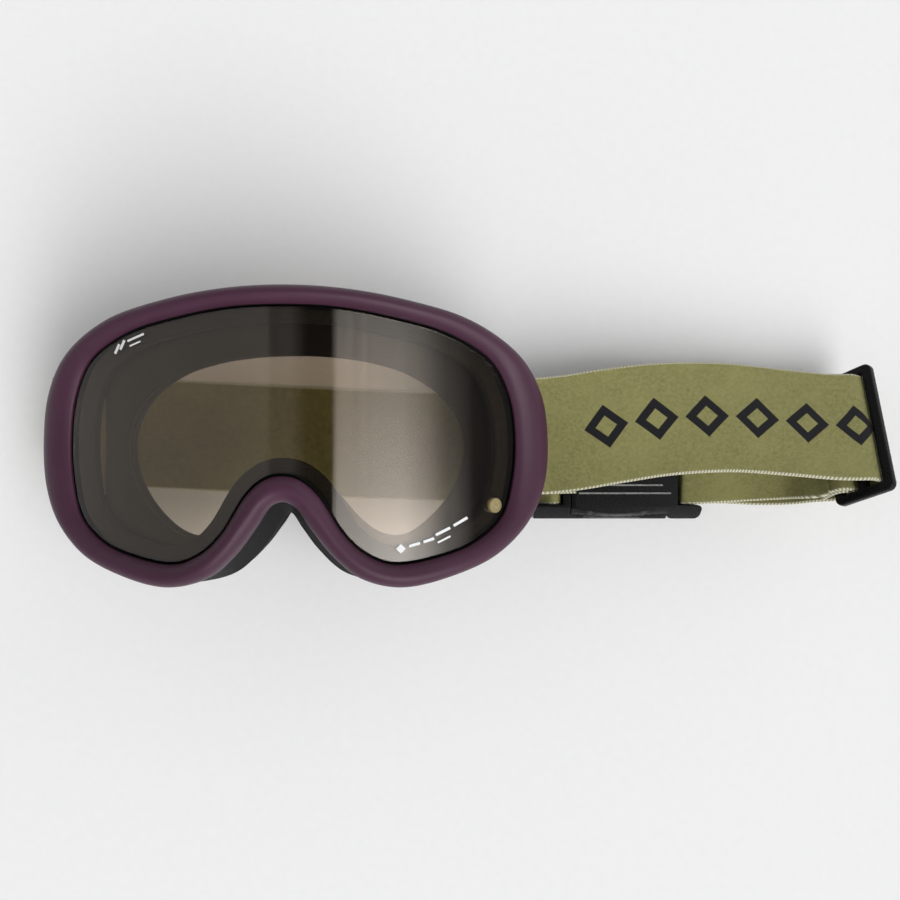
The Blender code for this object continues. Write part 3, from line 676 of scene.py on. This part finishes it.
def webbing_material():
    """Elastic webbing: ribs across, yarn along, pale stitched edges and a dark woven pattern.

    The UV map holds the length along the strap and the distance from its middle, in metres.
    """
    material, tree, shader = new_material("webbing_olive", (0.24, 0.23, 0.105), 0.85)
    shader.inputs["Sheen Weight"].default_value = 0.06
    shader.inputs["Sheen Roughness"].default_value = 0.6
    shader.inputs["Specular IOR Level"].default_value = 0.2
    uv = add_node(tree, "ShaderNodeUVMap", uv_map="webbing")
    split = add_node(tree, "ShaderNodeSeparateXYZ", {"Vector": uv.outputs["UV"]})
    along, across = split.outputs["X"], split.outputs["Y"]

    weave = math_node(tree, "MULTIPLY", wave(tree, across, RIB_PITCH), wave(tree, along, YARN_PITCH))
    weave_height = value_range(tree, weave, -1, 1, 0, 1)

    fuzz = object_noise(tree, 900, 5, 0.65)
    patch = object_noise(tree, 70, 3)
    thread = colour_ramp(tree, fuzz, [
        (0.25, (0.150, 0.143, 0.048)), (0.5, (0.245, 0.236, 0.088)), (0.8, (0.36, 0.34, 0.145))])
    dull = colour_ramp(tree, patch, [(0.3, (0.21, 0.205, 0.077)), (0.7, (0.27, 0.255, 0.097))])
    # Painted shade: the low parts of the weave are darkened in the colour.
    weave_hollow_shade = colour_ramp(tree, weave_height, [(0.0, (0.45, 0.45, 0.45)), (1.0, (1.0, 1.0, 1.0))])
    body = mix_colours(tree, 0.5, thread, weave_hollow_shade, "MULTIPLY")
    cloth = mix_colours(tree, value_range(tree, patch, 0.4, 0.6, 0.2, 0.5), body, dull)

    inked = mix_colours(tree, pattern_mask(tree, along, across), cloth, (0.007, 0.007, 0.009))
    from_middle = math_node(tree, "ABSOLUTE", across)
    edge = value_range(tree, from_middle, *STITCHED_EDGE, 0, 1)
    twist = math_node(tree, "ADD", along, math_node(tree, "MULTIPLY", from_middle, 0.4))
    stitch = value_range(tree, wave(tree, twist, STITCH_PITCH), -0.6, 0.3, 0, 1)
    edge_colour = mix_colours(tree, stitch, (0.24, 0.235, 0.13), (0.56, 0.54, 0.42))
    colour = mix_colours(tree, edge, inked, edge_colour)
    tree.links.new(colour, shader.inputs["Base Color"])
    height = math_node(tree, "ADD", weave_height, math_node(tree, "MULTIPLY", edge, 1.5))
    height = math_node(tree, "ADD", height, math_node(tree, "MULTIPLY", fuzz, 0.6))
    add_bump(tree, shader, height, 0.55, 0.12)
    return material


def pattern_mask(tree, along, across):
    """A row of plain woven diamonds with open middles; 1 where the yarn is dark."""
    shifted = math_node(tree, "SUBTRACT", along, PATTERN_START)
    tile = math_node(tree, "DIVIDE", shifted, PATTERN_PITCH)
    phase = math_node(tree, "SUBTRACT", math_node(tree, "FRACT", tile), 0.5)
    sideways = math_node(tree, "MULTIPLY", math_node(tree, "ABSOLUTE", phase), PATTERN_PITCH)
    from_middle = math_node(tree, "ABSOLUTE", across)
    reach = math_node(tree, "ADD", sideways, from_middle)
    outer = value_range(tree, reach, PATTERN_REACH, PATTERN_REACH + PATTERN_BLUR, 1, 0)
    inner = value_range(tree, reach, PATTERN_HOLE, PATTERN_HOLE + PATTERN_BLUR, 0, 1)
    ring = math_node(tree, "MULTIPLY", outer, inner)
    inside = math_node(tree, "GREATER_THAN", tile, 0.0)
    before_end = math_node(tree, "LESS_THAN", tile, float(PATTERN_COUNT))
    return math_node(tree, "MULTIPLY", ring, math_node(tree, "MULTIPLY", inside, before_end))


def steel_material():
    material, tree, shader = new_material("bar_steel", (0.5, 0.5, 0.51), 0.35)
    shader.inputs["Metallic"].default_value = 1.0
    streak = object_noise(tree, 1200, 2)
    tree.links.new(value_range(tree, streak, 0.3, 0.7, 0.28, 0.42), shader.inputs["Roughness"])
    return material


def membrane_material():
    material, tree, shader = new_material("valve_membrane", (0.26, 0.21, 0.09), 0.5)
    shader.inputs["Coat Weight"].default_value = 0.3
    speckle = object_noise(tree, 3000, 3)
    paint(tree, shader, speckle, [(0.3, (0.18, 0.145, 0.06)), (0.7, (0.33, 0.27, 0.12))])
    add_bump(tree, shader, speckle, 0.3, 0.05)
    return material


def print_material():
    material, tree, shader = new_material("print_white", (0.75, 0.75, 0.75), 0.5)
    speckle = object_noise(tree, 2500, 2)
    paint(tree, shader, speckle, [(0.3, (0.66, 0.66, 0.66)), (0.7, (0.8, 0.8, 0.8))])
    return material


def ridge_grey_material():
    """Paler grey mottled plastic on the raised ridges."""
    # The raised ridges are given a pale grey on the black buckle.
    material, tree, shader = new_material("buckle_ridge_grey", (0.2, 0.2, 0.19), 0.5)
    ridge_mottle = object_noise(tree, 900, 4, 0.7)
    paint(tree, shader, ridge_mottle, [(0.3, (0.10, 0.10, 0.10)), (0.7, (0.28, 0.28, 0.27))])
    return material


def floor_material():
    material, tree, shader = new_material("floor_paper", (0.8, 0.8, 0.81), 0.9)
    shader.inputs["Specular IOR Level"].default_value = 0.15
    fibre = object_noise(tree, 300, 4)
    paint(tree, shader, fibre, [(0.3, (0.795, 0.795, 0.80)), (0.7, (0.81, 0.81, 0.815))])
    return material


# ---- hard pieces


def make_rim(material):
    outer = full_outline(RIM_OUTER)
    inner = full_outline(RIM_INNER)
    section = [tuple(row) for row in spline_points(RIM_FRONT, 4, closed=False)] + RIM_BACK
    rings = [front_ring(outer, inner, share, height) for share, height in section]
    rim = loft("rim_shell", rings, material, sharp_angle=60)
    stand_in(rim, "frame_rim")


def lens_sheet(name, inset, drop, thickness, material):
    """Cylinder sheet inside the rim: a flat outline cut into strips, bent and thickened."""
    outline = inset_outline(full_outline(RIM_INNER), inset)
    work = bmesh.new()
    corners = [work.verts.new((x * MM, y * MM, 0)) for x, y in outline]
    work.faces.new(corners)
    reach = np.abs(outline[:, 0]).max()
    strips = int(2 * reach / LENS_STRIP)
    for strip in range(1, strips):
        cut_x = -reach + 2 * reach * strip / strips
        geometry = list(work.verts) + list(work.edges) + list(work.faces)
        spot = (cut_x * MM, 0, 0)
        bmesh.ops.bisect_plane(work, geom=geometry, dist=1e-7, plane_co=spot, plane_no=(1, 0, 0))
    bmesh.ops.remove_doubles(work, verts=work.verts, dist=0.05 * MM)
    bmesh.ops.triangulate(work, faces=work.faces)
    for vert in work.verts:
        vert.co = on_lens(vert.co.x / MM, vert.co.y / MM, -drop)
    if sum(face.normal.z for face in work.faces) < 0:
        bmesh.ops.reverse_faces(work, faces=work.faces)
    mesh = bpy.data.meshes.new(name)
    work.to_mesh(mesh)
    work.free()
    sheet = new_piece(name, mesh, material)
    thicken = sheet.modifiers.new("thickness", "SOLIDIFY")
    thicken.thickness = thickness * MM
    thicken.offset = -1.0
    return baked(sheet)


def turned(name, profile, material, sides=48):
    """Round solid standing on the lens at the valve, from radius and height pairs."""
    lean = Matrix.Rotation(math.asin(VALVE_CENTRE[0] / FRONT_RADIUS), 3, "Y")
    middle = Vector(on_lens(*VALVE_CENTRE, 0))
    points = []
    for radius, height in profile:
        for x, y in circle(radius, sides):
            points.append(middle + lean @ Vector((x, y, height)) * MM)
    faces = tube_faces(len(profile), sides)
    return solid(name, points, faces, material, 40.0)


def make_lenses(tint, clear):
    outer = lens_sheet("lens_outer", LENS_INSET, LENS_DROP, LENS_THICKNESS, tint)
    hole = turned("hole", [(VALVE_HOLE_RADIUS, -6.0), (VALVE_HOLE_RADIUS, 2.0)], tint)
    merge_close(combine(outer, [hole], "DIFFERENCE"))
    finish_mesh(outer.data, 30.0)
    stand_in(outer, "outer_lens")
    inner = lens_sheet("lens_inner", INNER_LENS_INSET, INNER_LENS_DROP, INNER_LENS_THICKNESS, clear)
    finish_mesh(inner.data, 30.0)
    stand_in(inner, "inner_lens")


def make_lens_marks(material):
    """Plain printed dashes: a slanted group near the temple and a row along the lower edge."""
    points = []
    faces = []
    for x, y, length, width, turn in LENS_MARKS:
        along = Vector((math.cos(math.radians(turn)), math.sin(math.radians(turn)))) * length / 2
        aside = Vector((-along.y, along.x)) * width / length
        for face in tube_faces(2, 4):
            faces.append(tuple(len(points) + corner for corner in face))
        for height in MARK_HEIGHTS:
            for corner in (-along - aside, along - aside, along + aside, aside - along):
                points.append(on_lens(x + corner.x, y + corner.y, height - LENS_DROP))
    marks = solid("lens_print", points, faces, material, 40.0)
    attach(marks, "goggles")


def make_valve(membrane):
    low = -LENS_DROP - LENS_THICKNESS - 0.1
    high = low + 2.0
    profile = [
        (VALVE_RADIUS - 0.15, low), (VALVE_RADIUS, low + 0.15), (VALVE_RADIUS, high - 0.3),
        (VALVE_RADIUS - 0.25, high), (VALVE_RADIUS - 0.55, high), (VALVE_RADIUS - 0.7, high - 0.25),
        (0.5, high - 0.2), (0.35, high - 0.05), (0.05, high),
    ]
    valve = turned("valve_disc", profile, membrane)
    stand_in(valve, "equaliser_valve")


def make_gasket(material):
    rim = full_outline(RIM_INNER)
    outer = inset_outline(rim, GASKET_INSETS[0])
    inner = inset_outline(rim, GASKET_INSETS[1])
    rings = [front_ring(outer, inner, share, height) for share, height in GASKET_SECTION]
    gasket = loft("gasket_foam_ring", rings, material)
    stand_in(gasket, "lens_gasket")


def chassis_rings():
    rim = full_outline(RIM_INNER)
    ledge = inset_outline(rim, LEDGE_WIDTH)
    outside, inside = SEAT_SHARES
    ledge_top, ledge_bottom = LEDGE_HEIGHTS
    return [
        seat_ring(outside, SEAT_HEIGHT),
        seat_ring(inside, SEAT_HEIGHT),
        seat_ring(inside, ledge_top),
        front_ring(rim, ledge, 1.0, ledge_top),
        front_ring(rim, ledge, 1.0, ledge_bottom),
        seat_ring(*WALL_TOP),
        face_ring(WALL_BACK_SHARE, -FLANGE_THICKNESS),
        face_ring(FLANGE_INNER_SHARE, -FLANGE_THICKNESS),
        face_ring(FLANGE_INNER_SHARE, 0),
        face_ring(0.0, 0),
        face_ring(0.0, -FLANGE_EDGE),
        seat_ring(outside, WALL_FOOT_HEIGHT),
    ]


def vent_cutters(material):
    cutters = []
    for middles, width, rise, reach in VENT_ROWS:
        for x in middles:
            centre = (x, FACE_TOP_Z - sag(x, FACE_RADIUS) + rise)
            outline = rounded_rectangle(width, VENT_HEIGHT, VENT_CORNER, centre, 3)
            cutters.append(prism("vent", outline, reach, material))
    return cutters


def side_slot_cutters(material):
    start = SIDE_SLOT_Y - SIDE_SLOT_WIDTH / 2
    cutters = []
    for side in (-1, 1):
        outline = [(side * x, z) for x, z in SIDE_SLOT]
        cutters.append(prism("slot", outline, (start, start + SIDE_SLOT_WIDTH), material))
    return cutters


def make_chassis(material):
    chassis = loft("chassis_shell", chassis_rings(), material)
    work = bmesh.new()
    work.from_mesh(chassis.data)
    bmesh.ops.triangulate(work, faces=work.faces, quad_method="SHORT_EDGE")
    work.to_mesh(chassis.data)
    work.free()
    merge_close(combine(chassis, vent_cutters(material) + side_slot_cutters(material), "DIFFERENCE"))
    finish_mesh(chassis.data, 32.0)
    stand_in(chassis, "frame_chassis")


def clip_rails(x_range, width, corner, material):
    """A bar along each side of one half of the clip."""
    rails = []
    for side in (-1, 1):
        middle = CLIP_CENTRE_Y + side * (CLIP_WIDTH - width) / 2
        outline = rounded_rectangle(x_range[1] - x_range[0], width, corner, (sum(x_range) / 2, middle))
        rails.append(prism("rail", outline, (0, CLIP_HEIGHT), material, axis="Z"))
    return rails


def side_slopes(material):
    """Wedges that slope the outer sides of the clip, narrower in the middle for the fingers."""
    x = np.linspace(*SLOPE_X, SLOPE_SAMPLES)
    start, end = SLOPE_DIP_X
    share = np.clip((x - start) / (end - start), 0, 1)
    width = SLOPE_WIDTH - SLOPE_DIP * np.sin(math.pi * share) ** 2
    top = CLIP_HEIGHT + SLOPE_PAST_TOP
    reach = width * (top - SLOPE_FOOT_Z) / (CLIP_HEIGHT - SLOPE_FOOT_Z)
    wedges = []
    for side in (-1, 1):
        edge = np.full_like(x, CLIP_CENTRE_Y + side * CLIP_WIDTH / 2)
        beyond = edge + side * SLOPE_PAST_SIDE
        rows = [(edge, SLOPE_FOOT_Z), (edge - side * reach, top), (beyond, top), (beyond, SLOPE_FOOT_Z)]
        rings = [np.column_stack([x, y, np.full_like(x, z)]) for y, z in rows]
        wedges.append(loft("slope", rings, material, around=False))
    return wedges


def clip_box(name, x_range, width, z_range, material):
    """Box across the clip's centre line."""
    low = (x_range[0], CLIP_CENTRE_Y - width / 2, z_range[0])
    high = (x_range[1], CLIP_CENTRE_Y + width / 2, z_range[1])
    return box(name, low, high, material)


def clip_bar(x, rail_width, material):
    """Bar that the strap loops round, let 1 mm into the rail at each end."""
    reach = CLIP_WIDTH / 2 - rail_width + 1
    outline = [(x + across, CLIP_BAR_Z + up) for across, up in circle(CLIP_BAR_RADIUS, 24)]
    return prism("bar", outline, (CLIP_CENTRE_Y - reach, CLIP_CENTRE_Y + reach), material)


def make_clip_receiver(material):
    block_x = (RECEIVER_BLOCK_X, RECEIVER_X[1])
    block = clip_box("clip_socket_half", block_x, CLIP_WIDTH, (0, CLIP_HEIGHT), material)
    added = clip_rails(RECEIVER_X, CLIP_RAIL, GAP, material)
    base_x = (RECEIVER_BLOCK_X + 1, BASE_END_X)
    added.append(clip_box("base", base_x, CLIP_WIDTH, (0, BASE_HEIGHT), material))
    added.append(clip_bar(RECEIVER_BAR_X, CLIP_RAIL, material))
    combine(block, added, "UNION")
    socket_x = (TONGUE_X - GAP, RECEIVER_X[1] + 1)
    socket_z = (TONGUE_Z[0] - GAP, TONGUE_Z[1] + GAP)
    socket = clip_box("socket", socket_x, TONGUE_WIDTH + 2 * GAP, socket_z, material)
    merge_close(combine(block, [socket] + side_slopes(material), "DIFFERENCE"))
    soften(block, 0.35, angle=25.0)
    stand_in(block, "clip_receiver")


def make_clip_plug(material, ridge_grey):
    plate_x = (PLUG_X[0], PLUG_PLATE_END)
    plate_z = (CLIP_HEIGHT - PLUG_PLATE_THICKNESS, CLIP_HEIGHT)
    plate = clip_box("clip_plug_half", plate_x, CLIP_WIDTH, plate_z, material)
    added = clip_rails((END_BLOCK_X, PLUG_X[1]), END_BLOCK_WIDTH, END_BLOCK_CORNER, material)
    added.append(clip_box("tongue", (TONGUE_X, PLUG_X[0] + 1), TONGUE_WIDTH, TONGUE_Z, material))
    added.append(clip_bar(PLUG_BAR_X, END_BLOCK_WIDTH, material))
    combine(plate, added, "UNION")
    merge_close(combine(plate, side_slopes(material), "DIFFERENCE"))
    soften(plate, 0.45, angle=25.0)
    middle_x = (PLUG_X[0] + PLUG_PLATE_END) / 2
    ridges = []
    for order, length in enumerate(RIDGE_LENGTHS):
        for side in (-1, 1):
            y = CLIP_CENTRE_Y + side * (CLIP_WIDTH / 2 - RIDGE_FIRST - order * RIDGE_PITCH)
            low = (middle_x - length / 2, y - RIDGE_SIZE[0] / 2, CLIP_HEIGHT - 0.5)
            high = (middle_x + length / 2, y + RIDGE_SIZE[0] / 2, CLIP_HEIGHT + RIDGE_SIZE[1])
            ridges.append(box("ridge", low, high, ridge_grey))
    combine(plate, ridges, "UNION")
    finish_mesh(plate.data, 40.0)
    stand_in(plate, "clip_plug", body="plug")


def slider_axes():
    across = Vector(SLIDER_ACROSS).normalized()
    along = Vector(SLIDER_ALONG)
    along = (along - across * along.dot(across)).normalized()
    return across, along, along.cross(across)


def make_slider(material):
    """Three-bar slider: a rounded plate with two windows."""
    edge = SLIDER_EDGE
    curve = bpy.data.curves.new("slider_outline", "CURVE")
    curve.dimensions = "2D"
    curve.fill_mode = "BOTH"
    curve.bevel_depth = edge * MM
    curve.bevel_resolution = 3
    curve.extrude = (SLIDER_THICKNESS / 2 - edge) * MM
    window_width = (SLIDER_WIDTH - 3 * SLIDER_BAR) / 2
    window_length = STRAP_WIDTH + 2 * GAP
    window_centre = (window_width + SLIDER_BAR) / 2
    shapes = [rounded_rectangle(SLIDER_WIDTH - 2 * edge, SLIDER_LENGTH - 2 * edge, SLIDER_CORNER - edge)]
    for side in (-1, 1):
        centre = (side * window_centre, 0)
        shapes.append(rounded_rectangle(
            window_width + 2 * edge, window_length + 2 * edge, SLIDER_WINDOW_CORNER, centre))
    for points in shapes:
        spline = curve.splines.new("POLY")
        spline.use_cyclic_u = True
        spline.points.add(len(points) - 1)
        for spot, (x, y) in zip(spline.points, points):
            spot.co = (x * MM, y * MM, 0, 1)
    pattern = bpy.data.objects.new("slider_outline", curve)
    bpy.context.scene.collection.objects.link(pattern)
    evaluated = pattern.evaluated_get(bpy.context.evaluated_depsgraph_get())
    mesh = bpy.data.meshes.new_from_object(evaluated)
    bpy.data.objects.remove(pattern)
    across, along, normal = slider_axes()
    turn = Matrix((across, -along, normal)).transposed()
    middle = Vector(place(SLIDER_CENTRE))
    for vert in mesh.vertices:
        vert.co = turn @ vert.co + middle
    slider = merge_close(new_piece("slider_frame", mesh, material))
    finish_mesh(slider.data, 50.0)
    stand_in(slider, "strap_slider", body="slider")


# ---- soft pieces


def foam_section(top, bottom):
    """Rounded cushion section between two drops, as shares of the face band and drops."""
    middle = (top + bottom) / 2
    corner = 0.12 * (bottom - top)
    outer, inner = FOAM_SHARES
    edge = 0.02
    bulge = 0.012
    return [
        (outer + edge, top), (inner - edge, top), (inner, top + corner), (inner + bulge, middle),
        (inner, bottom - corner), (inner - edge, bottom), (outer + edge, bottom),
        (outer, bottom - corner), (outer - bulge, middle), (outer, top + corner),
    ]


def make_face_foam(foam, fleece):
    for name, node, top, bottom in FOAM_LAYERS:
        rings = [face_ring(share, drop) for share, drop in foam_section(top, bottom)]
        layer = loft(name, rings, foam, sharp_angle=75)
        stand_in(layer, node)
    top, bottom = FLEECE_DROPS
    section = [
        (0.05, top), (0.92, top), (0.935, top + 0.6), (0.93, bottom - 1.4), (0.9, bottom - 0.45),
        (0.84, bottom), (0.14, bottom), (0.075, bottom - 0.45), (0.045, bottom - 1.4),
        (0.035, top + 0.6),
    ]
    rings = [face_ring(share, drop) for share, drop in section]
    layer = loft("fleece_layer", rings, fleece, sharp_angle=80)
    stand_in(layer, "face_fleece")


def wall_inside(share_down, inward):
    top = seat_ring(*WALL_TOP)
    foot = face_ring(WALL_BACK_SHARE, -FLANGE_THICKNESS)
    ring = top * (1 - share_down) + foot * share_down
    flat = inset_outline(ring[:, :2], inward)
    return np.column_stack([flat, ring[:, 2]])


def make_vent_foams(material):
    total = 2 * (len(RIM_OUTER) - 1) * STEPS_PER_SPAN
    near = GAP
    far = GAP + VENT_FOAM_THICKNESS
    for node, (start, end) in VENT_FOAM_SPANS.items():
        pick = [index % total for index in range(start, end + 1)]
        stations = [(0.1, near), (0.1, far - 0.4), (0.13, far), (0.87, far), (0.9, far - 0.4), (0.9, near)]
        rings = [wall_inside(share, inward)[pick] for share, inward in stations]
        strip = loft(node + "_strip", rings, material, around=False)
        stand_in(strip, node)


def tilted(row):
    x, y, z, tilt = row
    angle = math.radians(tilt)
    return [x, y, z, 0.0, math.cos(angle), -math.sin(angle)]


def at_slider(across_by, up_by):
    across, along, normal = slider_axes()
    spot = Vector(SLIDER_CENTRE) + across * across_by + normal * up_by
    return [*spot, *(-along)]


def strap_section():
    """Webbing cross-section as shares of half the width and half the thickness."""
    shares = [-1.0, -0.985, -0.95, -0.93, -0.5, 0.0, 0.5, 0.93, 0.95, 0.985, 1.0]
    heights = [0.45, 0.85, 1.0, 0.9, 0.92, 0.94, 0.92, 0.9, 1.0, 0.85, 0.45]
    upper = list(zip(shares, heights))
    lower = [(share, -height) for share, height in reversed(upper)]
    return upper + lower


def strap_frames(control_rows, start_length):
    """Centre, width and normal of the webbing at each sample, and the length run so far."""
    path = spline_points(control_rows, STRAP_SAMPLES, closed=False)
    centre = path[:, :3]
    run = unit_rows(np.gradient(centre, axis=0))
    width = unit_rows(path[:, 3:] - run * np.sum(path[:, 3:] * run, axis=1)[:, None])
    steps = np.linalg.norm(np.diff(centre, axis=0), axis=1)
    length = start_length + np.concatenate([[0], np.cumsum(steps)])
    return centre, width, np.cross(run, width), length


def ribbon(name, frames, first, last, material):
    """Webbing between two samples of a strap, with its own lengths in the UV map."""
    centre, width, normal, length = (values[first:last + 1] for values in frames)
    section = strap_section()
    rows = len(centre)
    count = len(section)
    points = np.empty((rows, count, 3))
    for order, (side, up) in enumerate(section):
        points[:, order] = centre + width * side * STRAP_WIDTH / 2 + normal * up * STRAP_THICKNESS / 2
    points = place(points.reshape(-1, 3))
    faces = tube_faces(rows, count)
    piece = solid(name, points, faces, material, 70.0)
    layer = piece.data.uv_layers.new(name="webbing")
    for loop in piece.data.loops:
        row, column = divmod(loop.vertex_index, count)
        across = section[column][0] * STRAP_WIDTH / 2
        layer.data[loop.index].uv = (length[row] * MM, across * MM)
    return piece


def make_left_strap(material):
    frames = strap_frames([tilted(row) for row in LEFT_STRAP_PATH], 500.0)
    strap = ribbon("strap_left_webbing", frames, 0, len(frames[0]) - 1, material)
    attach(strap, "goggles")
    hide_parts("strap_left")


def make_right_strap(material):
    """One webbing in four runs, cut where neighbours move alike."""
    rows = [tilted(row) for row in RIGHT_STRAP_UPPER]
    rows += [at_slider(*spot) for spot in SLIDING_PLY]
    rows += [tilted(row) for row in RIGHT_STRAP_MIDDLE]
    rows += [at_slider(*spot) for spot in SEWN_PLY]
    frames = strap_frames(rows, -60.0)
    upper_end = len(RIGHT_STRAP_UPPER) + UPPER_RUN_PLIES
    middle_start = len(RIGHT_STRAP_UPPER) + len(SLIDING_PLY)
    loop_start, loop_end = (middle_start + row for row in CLIP_LOOP_ROWS)
    cuts = [0, upper_end, loop_start, loop_end, len(rows) - 1]
    names = ["strap_right_upper", "strap_right_fold", "strap_right_clip_loop", "strap_right_sewn_end"]
    runs = []
    for name, start, end in zip(names, cuts[:-1], cuts[1:]):
        first, last = start * STRAP_SAMPLES, end * STRAP_SAMPLES
        runs.append(ribbon(name, frames, first, last, material))
    upper, fold, loop, sewn = runs

    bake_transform(upper)
    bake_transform(fold)
    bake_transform(loop)
    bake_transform(sewn)
    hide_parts("strap_right")


# ---- light, floor, camera


def make_floor(material):
    mesh = bpy.data.meshes.new("floor")
    size = FLOOR_REACH
    corners = [(-size, -size, 0), (size, -size, 0), (size, size, 0), (-size, size, 0)]
    mesh.from_pydata(corners, [], [(0, 1, 2, 3)])
    floor = new_piece("floor", mesh, material)
    floor.location.z = CAD_BOUNDS[0][2] - FLOOR_DROP


def angle_of(tree, across, up):
    """Angle of the sky direction from straight up towards `across`, in degrees."""
    radians = math_node(tree, "ARCTAN2", across, up)
    return math_node(tree, "MULTIPLY", radians, 180 / math.pi)


def sky_profile(tree, angle, stops):
    """Grey by angle, -90 to 90 degrees: pairs of an angle and a brightness from 0 to 1."""
    share = value_range(tree, angle, -90, 90, 0, 1)
    greys = [((degrees + 90) / 180, (grey, grey, grey)) for degrees, grey in stops]
    return colour_ramp(tree, share, greys)


def make_sky():
    """Studio light as a sky: grey room, dark gap overhead, big soft panel and bright low walls.

    `side` is the angle from straight up towards +X, `front` the angle towards +Y.  The camera
    itself sees a plain backdrop instead.
    """
    world = bpy.data.worlds.new("studio")
    world.use_nodes = True
    tree = world.node_tree
    background = tree.nodes["Background"]
    where = add_node(tree, "ShaderNodeTexCoord")
    split = add_node(tree, "ShaderNodeSeparateXYZ", {"Vector": where.outputs["Generated"]})
    side = angle_of(tree, split.outputs["X"], split.outputs["Z"])
    front = angle_of(tree, split.outputs["Y"], split.outputs["Z"])
    room = sky_profile(tree, side, [
        (-90, 0.62), (-62, 0.5), (-32, 0.44), (-14, 0.46), (-12, 0.24), (-6, 0.28), (-2, 0.10),
        (0, 0.03), (9, 0.03), (11, 0.16), (50, 0.12), (90, 0.12)])
    panel_side = sky_profile(tree, side, [
        (8.5, 0.0), (10.5, 0.68), (18, 0.78), (26, 0.95), (33, 1.0), (40, 0.66), (48, 0.25), (60, 0.0)])
    panel_front = sky_profile(tree, front, [
        (-66, 0.0), (-56, 0.95), (-14, 1.0), (-7, 0.9), (-2, 0.52), (3, 0.3), (9, 0.18), (20, 0.08),
        (34, 0.0)])
    wall_side = sky_profile(tree, side, [(-90, 0.04), (-10, 0.1), (25, 0.3), (50, 1.0), (90, 1.0)])
    wall_front = sky_profile(tree, front, [
        (-90, 1.0), (-45, 1.0), (-16, 0.0), (16, 0.0), (45, 1.0), (90, 1.0)])
    panel = vector_node(tree, "MULTIPLY", panel_side, panel_front)
    panel = vector_node(tree, "SCALE", panel, PANEL_STRENGTH)
    walls = vector_node(tree, "MULTIPLY", wall_side, wall_front)
    walls = vector_node(tree, "SCALE", walls, WALL_STRENGTH)
    total = vector_node(tree, "ADD", vector_node(tree, "ADD", panel, room), walls)
    tree.links.new(total, background.inputs["Color"])
    backdrop = add_node(tree, "ShaderNodeBackground", {"Color": BACKDROP_GREY})
    ray = add_node(tree, "ShaderNodeLightPath")
    choose = add_node(tree, "ShaderNodeMixShader", {
        "Fac": ray.outputs["Is Camera Ray"], 1: background.outputs["Background"],
        2: backdrop.outputs["Background"]})
    tree.links.new(choose.outputs["Shader"], tree.nodes["World Output"].inputs["Surface"])
    bpy.context.scene.world = world
    bpy.context.scene.view_settings.view_transform = "Standard"


def make_camera():
    camera = bpy.data.cameras.new("camera")
    camera.lens = CAMERA_LENS
    camera.sensor_width = CAMERA_SENSOR
    camera.clip_start = 0.01
    view = bpy.data.objects.new("camera", camera)
    view.location = Vector(place([CAMERA_X, 0, CAMERA_HEIGHT]))
    bpy.context.scene.collection.objects.link(view)
    bpy.context.scene.camera = view


def main():
    plum = rim_material()
    black = plastic_material("frame_black", (0.008, 0.008, 0.0085), 0.6, 0.15, 1600)
    buckle = plastic_material("buckle_black", (0.005, 0.005, 0.0055), 0.26, 0.1, 1500)
    webbing = webbing_material()
    make_rim(plum)
    make_lenses(
        lens_material("lens_tint", (0.79, 0.73, 0.655), (0.92, 0.90, 0.88), 0.058),
        lens_material("lens_clear", (0.95, 0.95, 0.94), (0.95, 0.95, 0.95), 0.03),
    )
    make_lens_marks(print_material())
    make_valve(membrane_material())
    make_gasket(foam_material("gasket_foam", (0.022, 0.022, 0.023), 2200, 0.2))
    make_chassis(black)
    foam = foam_material("foam_black", (0.014, 0.014, 0.015), 1500, 0.4)
    make_face_foam(foam, fleece_material())
    make_vent_foams(foam)
    steel = steel_material()
    for node in ("strap_bar_left", "strap_bar_right"):
        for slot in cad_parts[node].material_slots:
            slot.material = steel
    make_left_strap(webbing)
    make_right_strap(webbing)
    make_slider(buckle)
    make_clip_receiver(buckle)
    make_clip_plug(buckle, ridge_grey_material())
    make_floor(floor_material())
    make_sky()
    make_camera()


main()
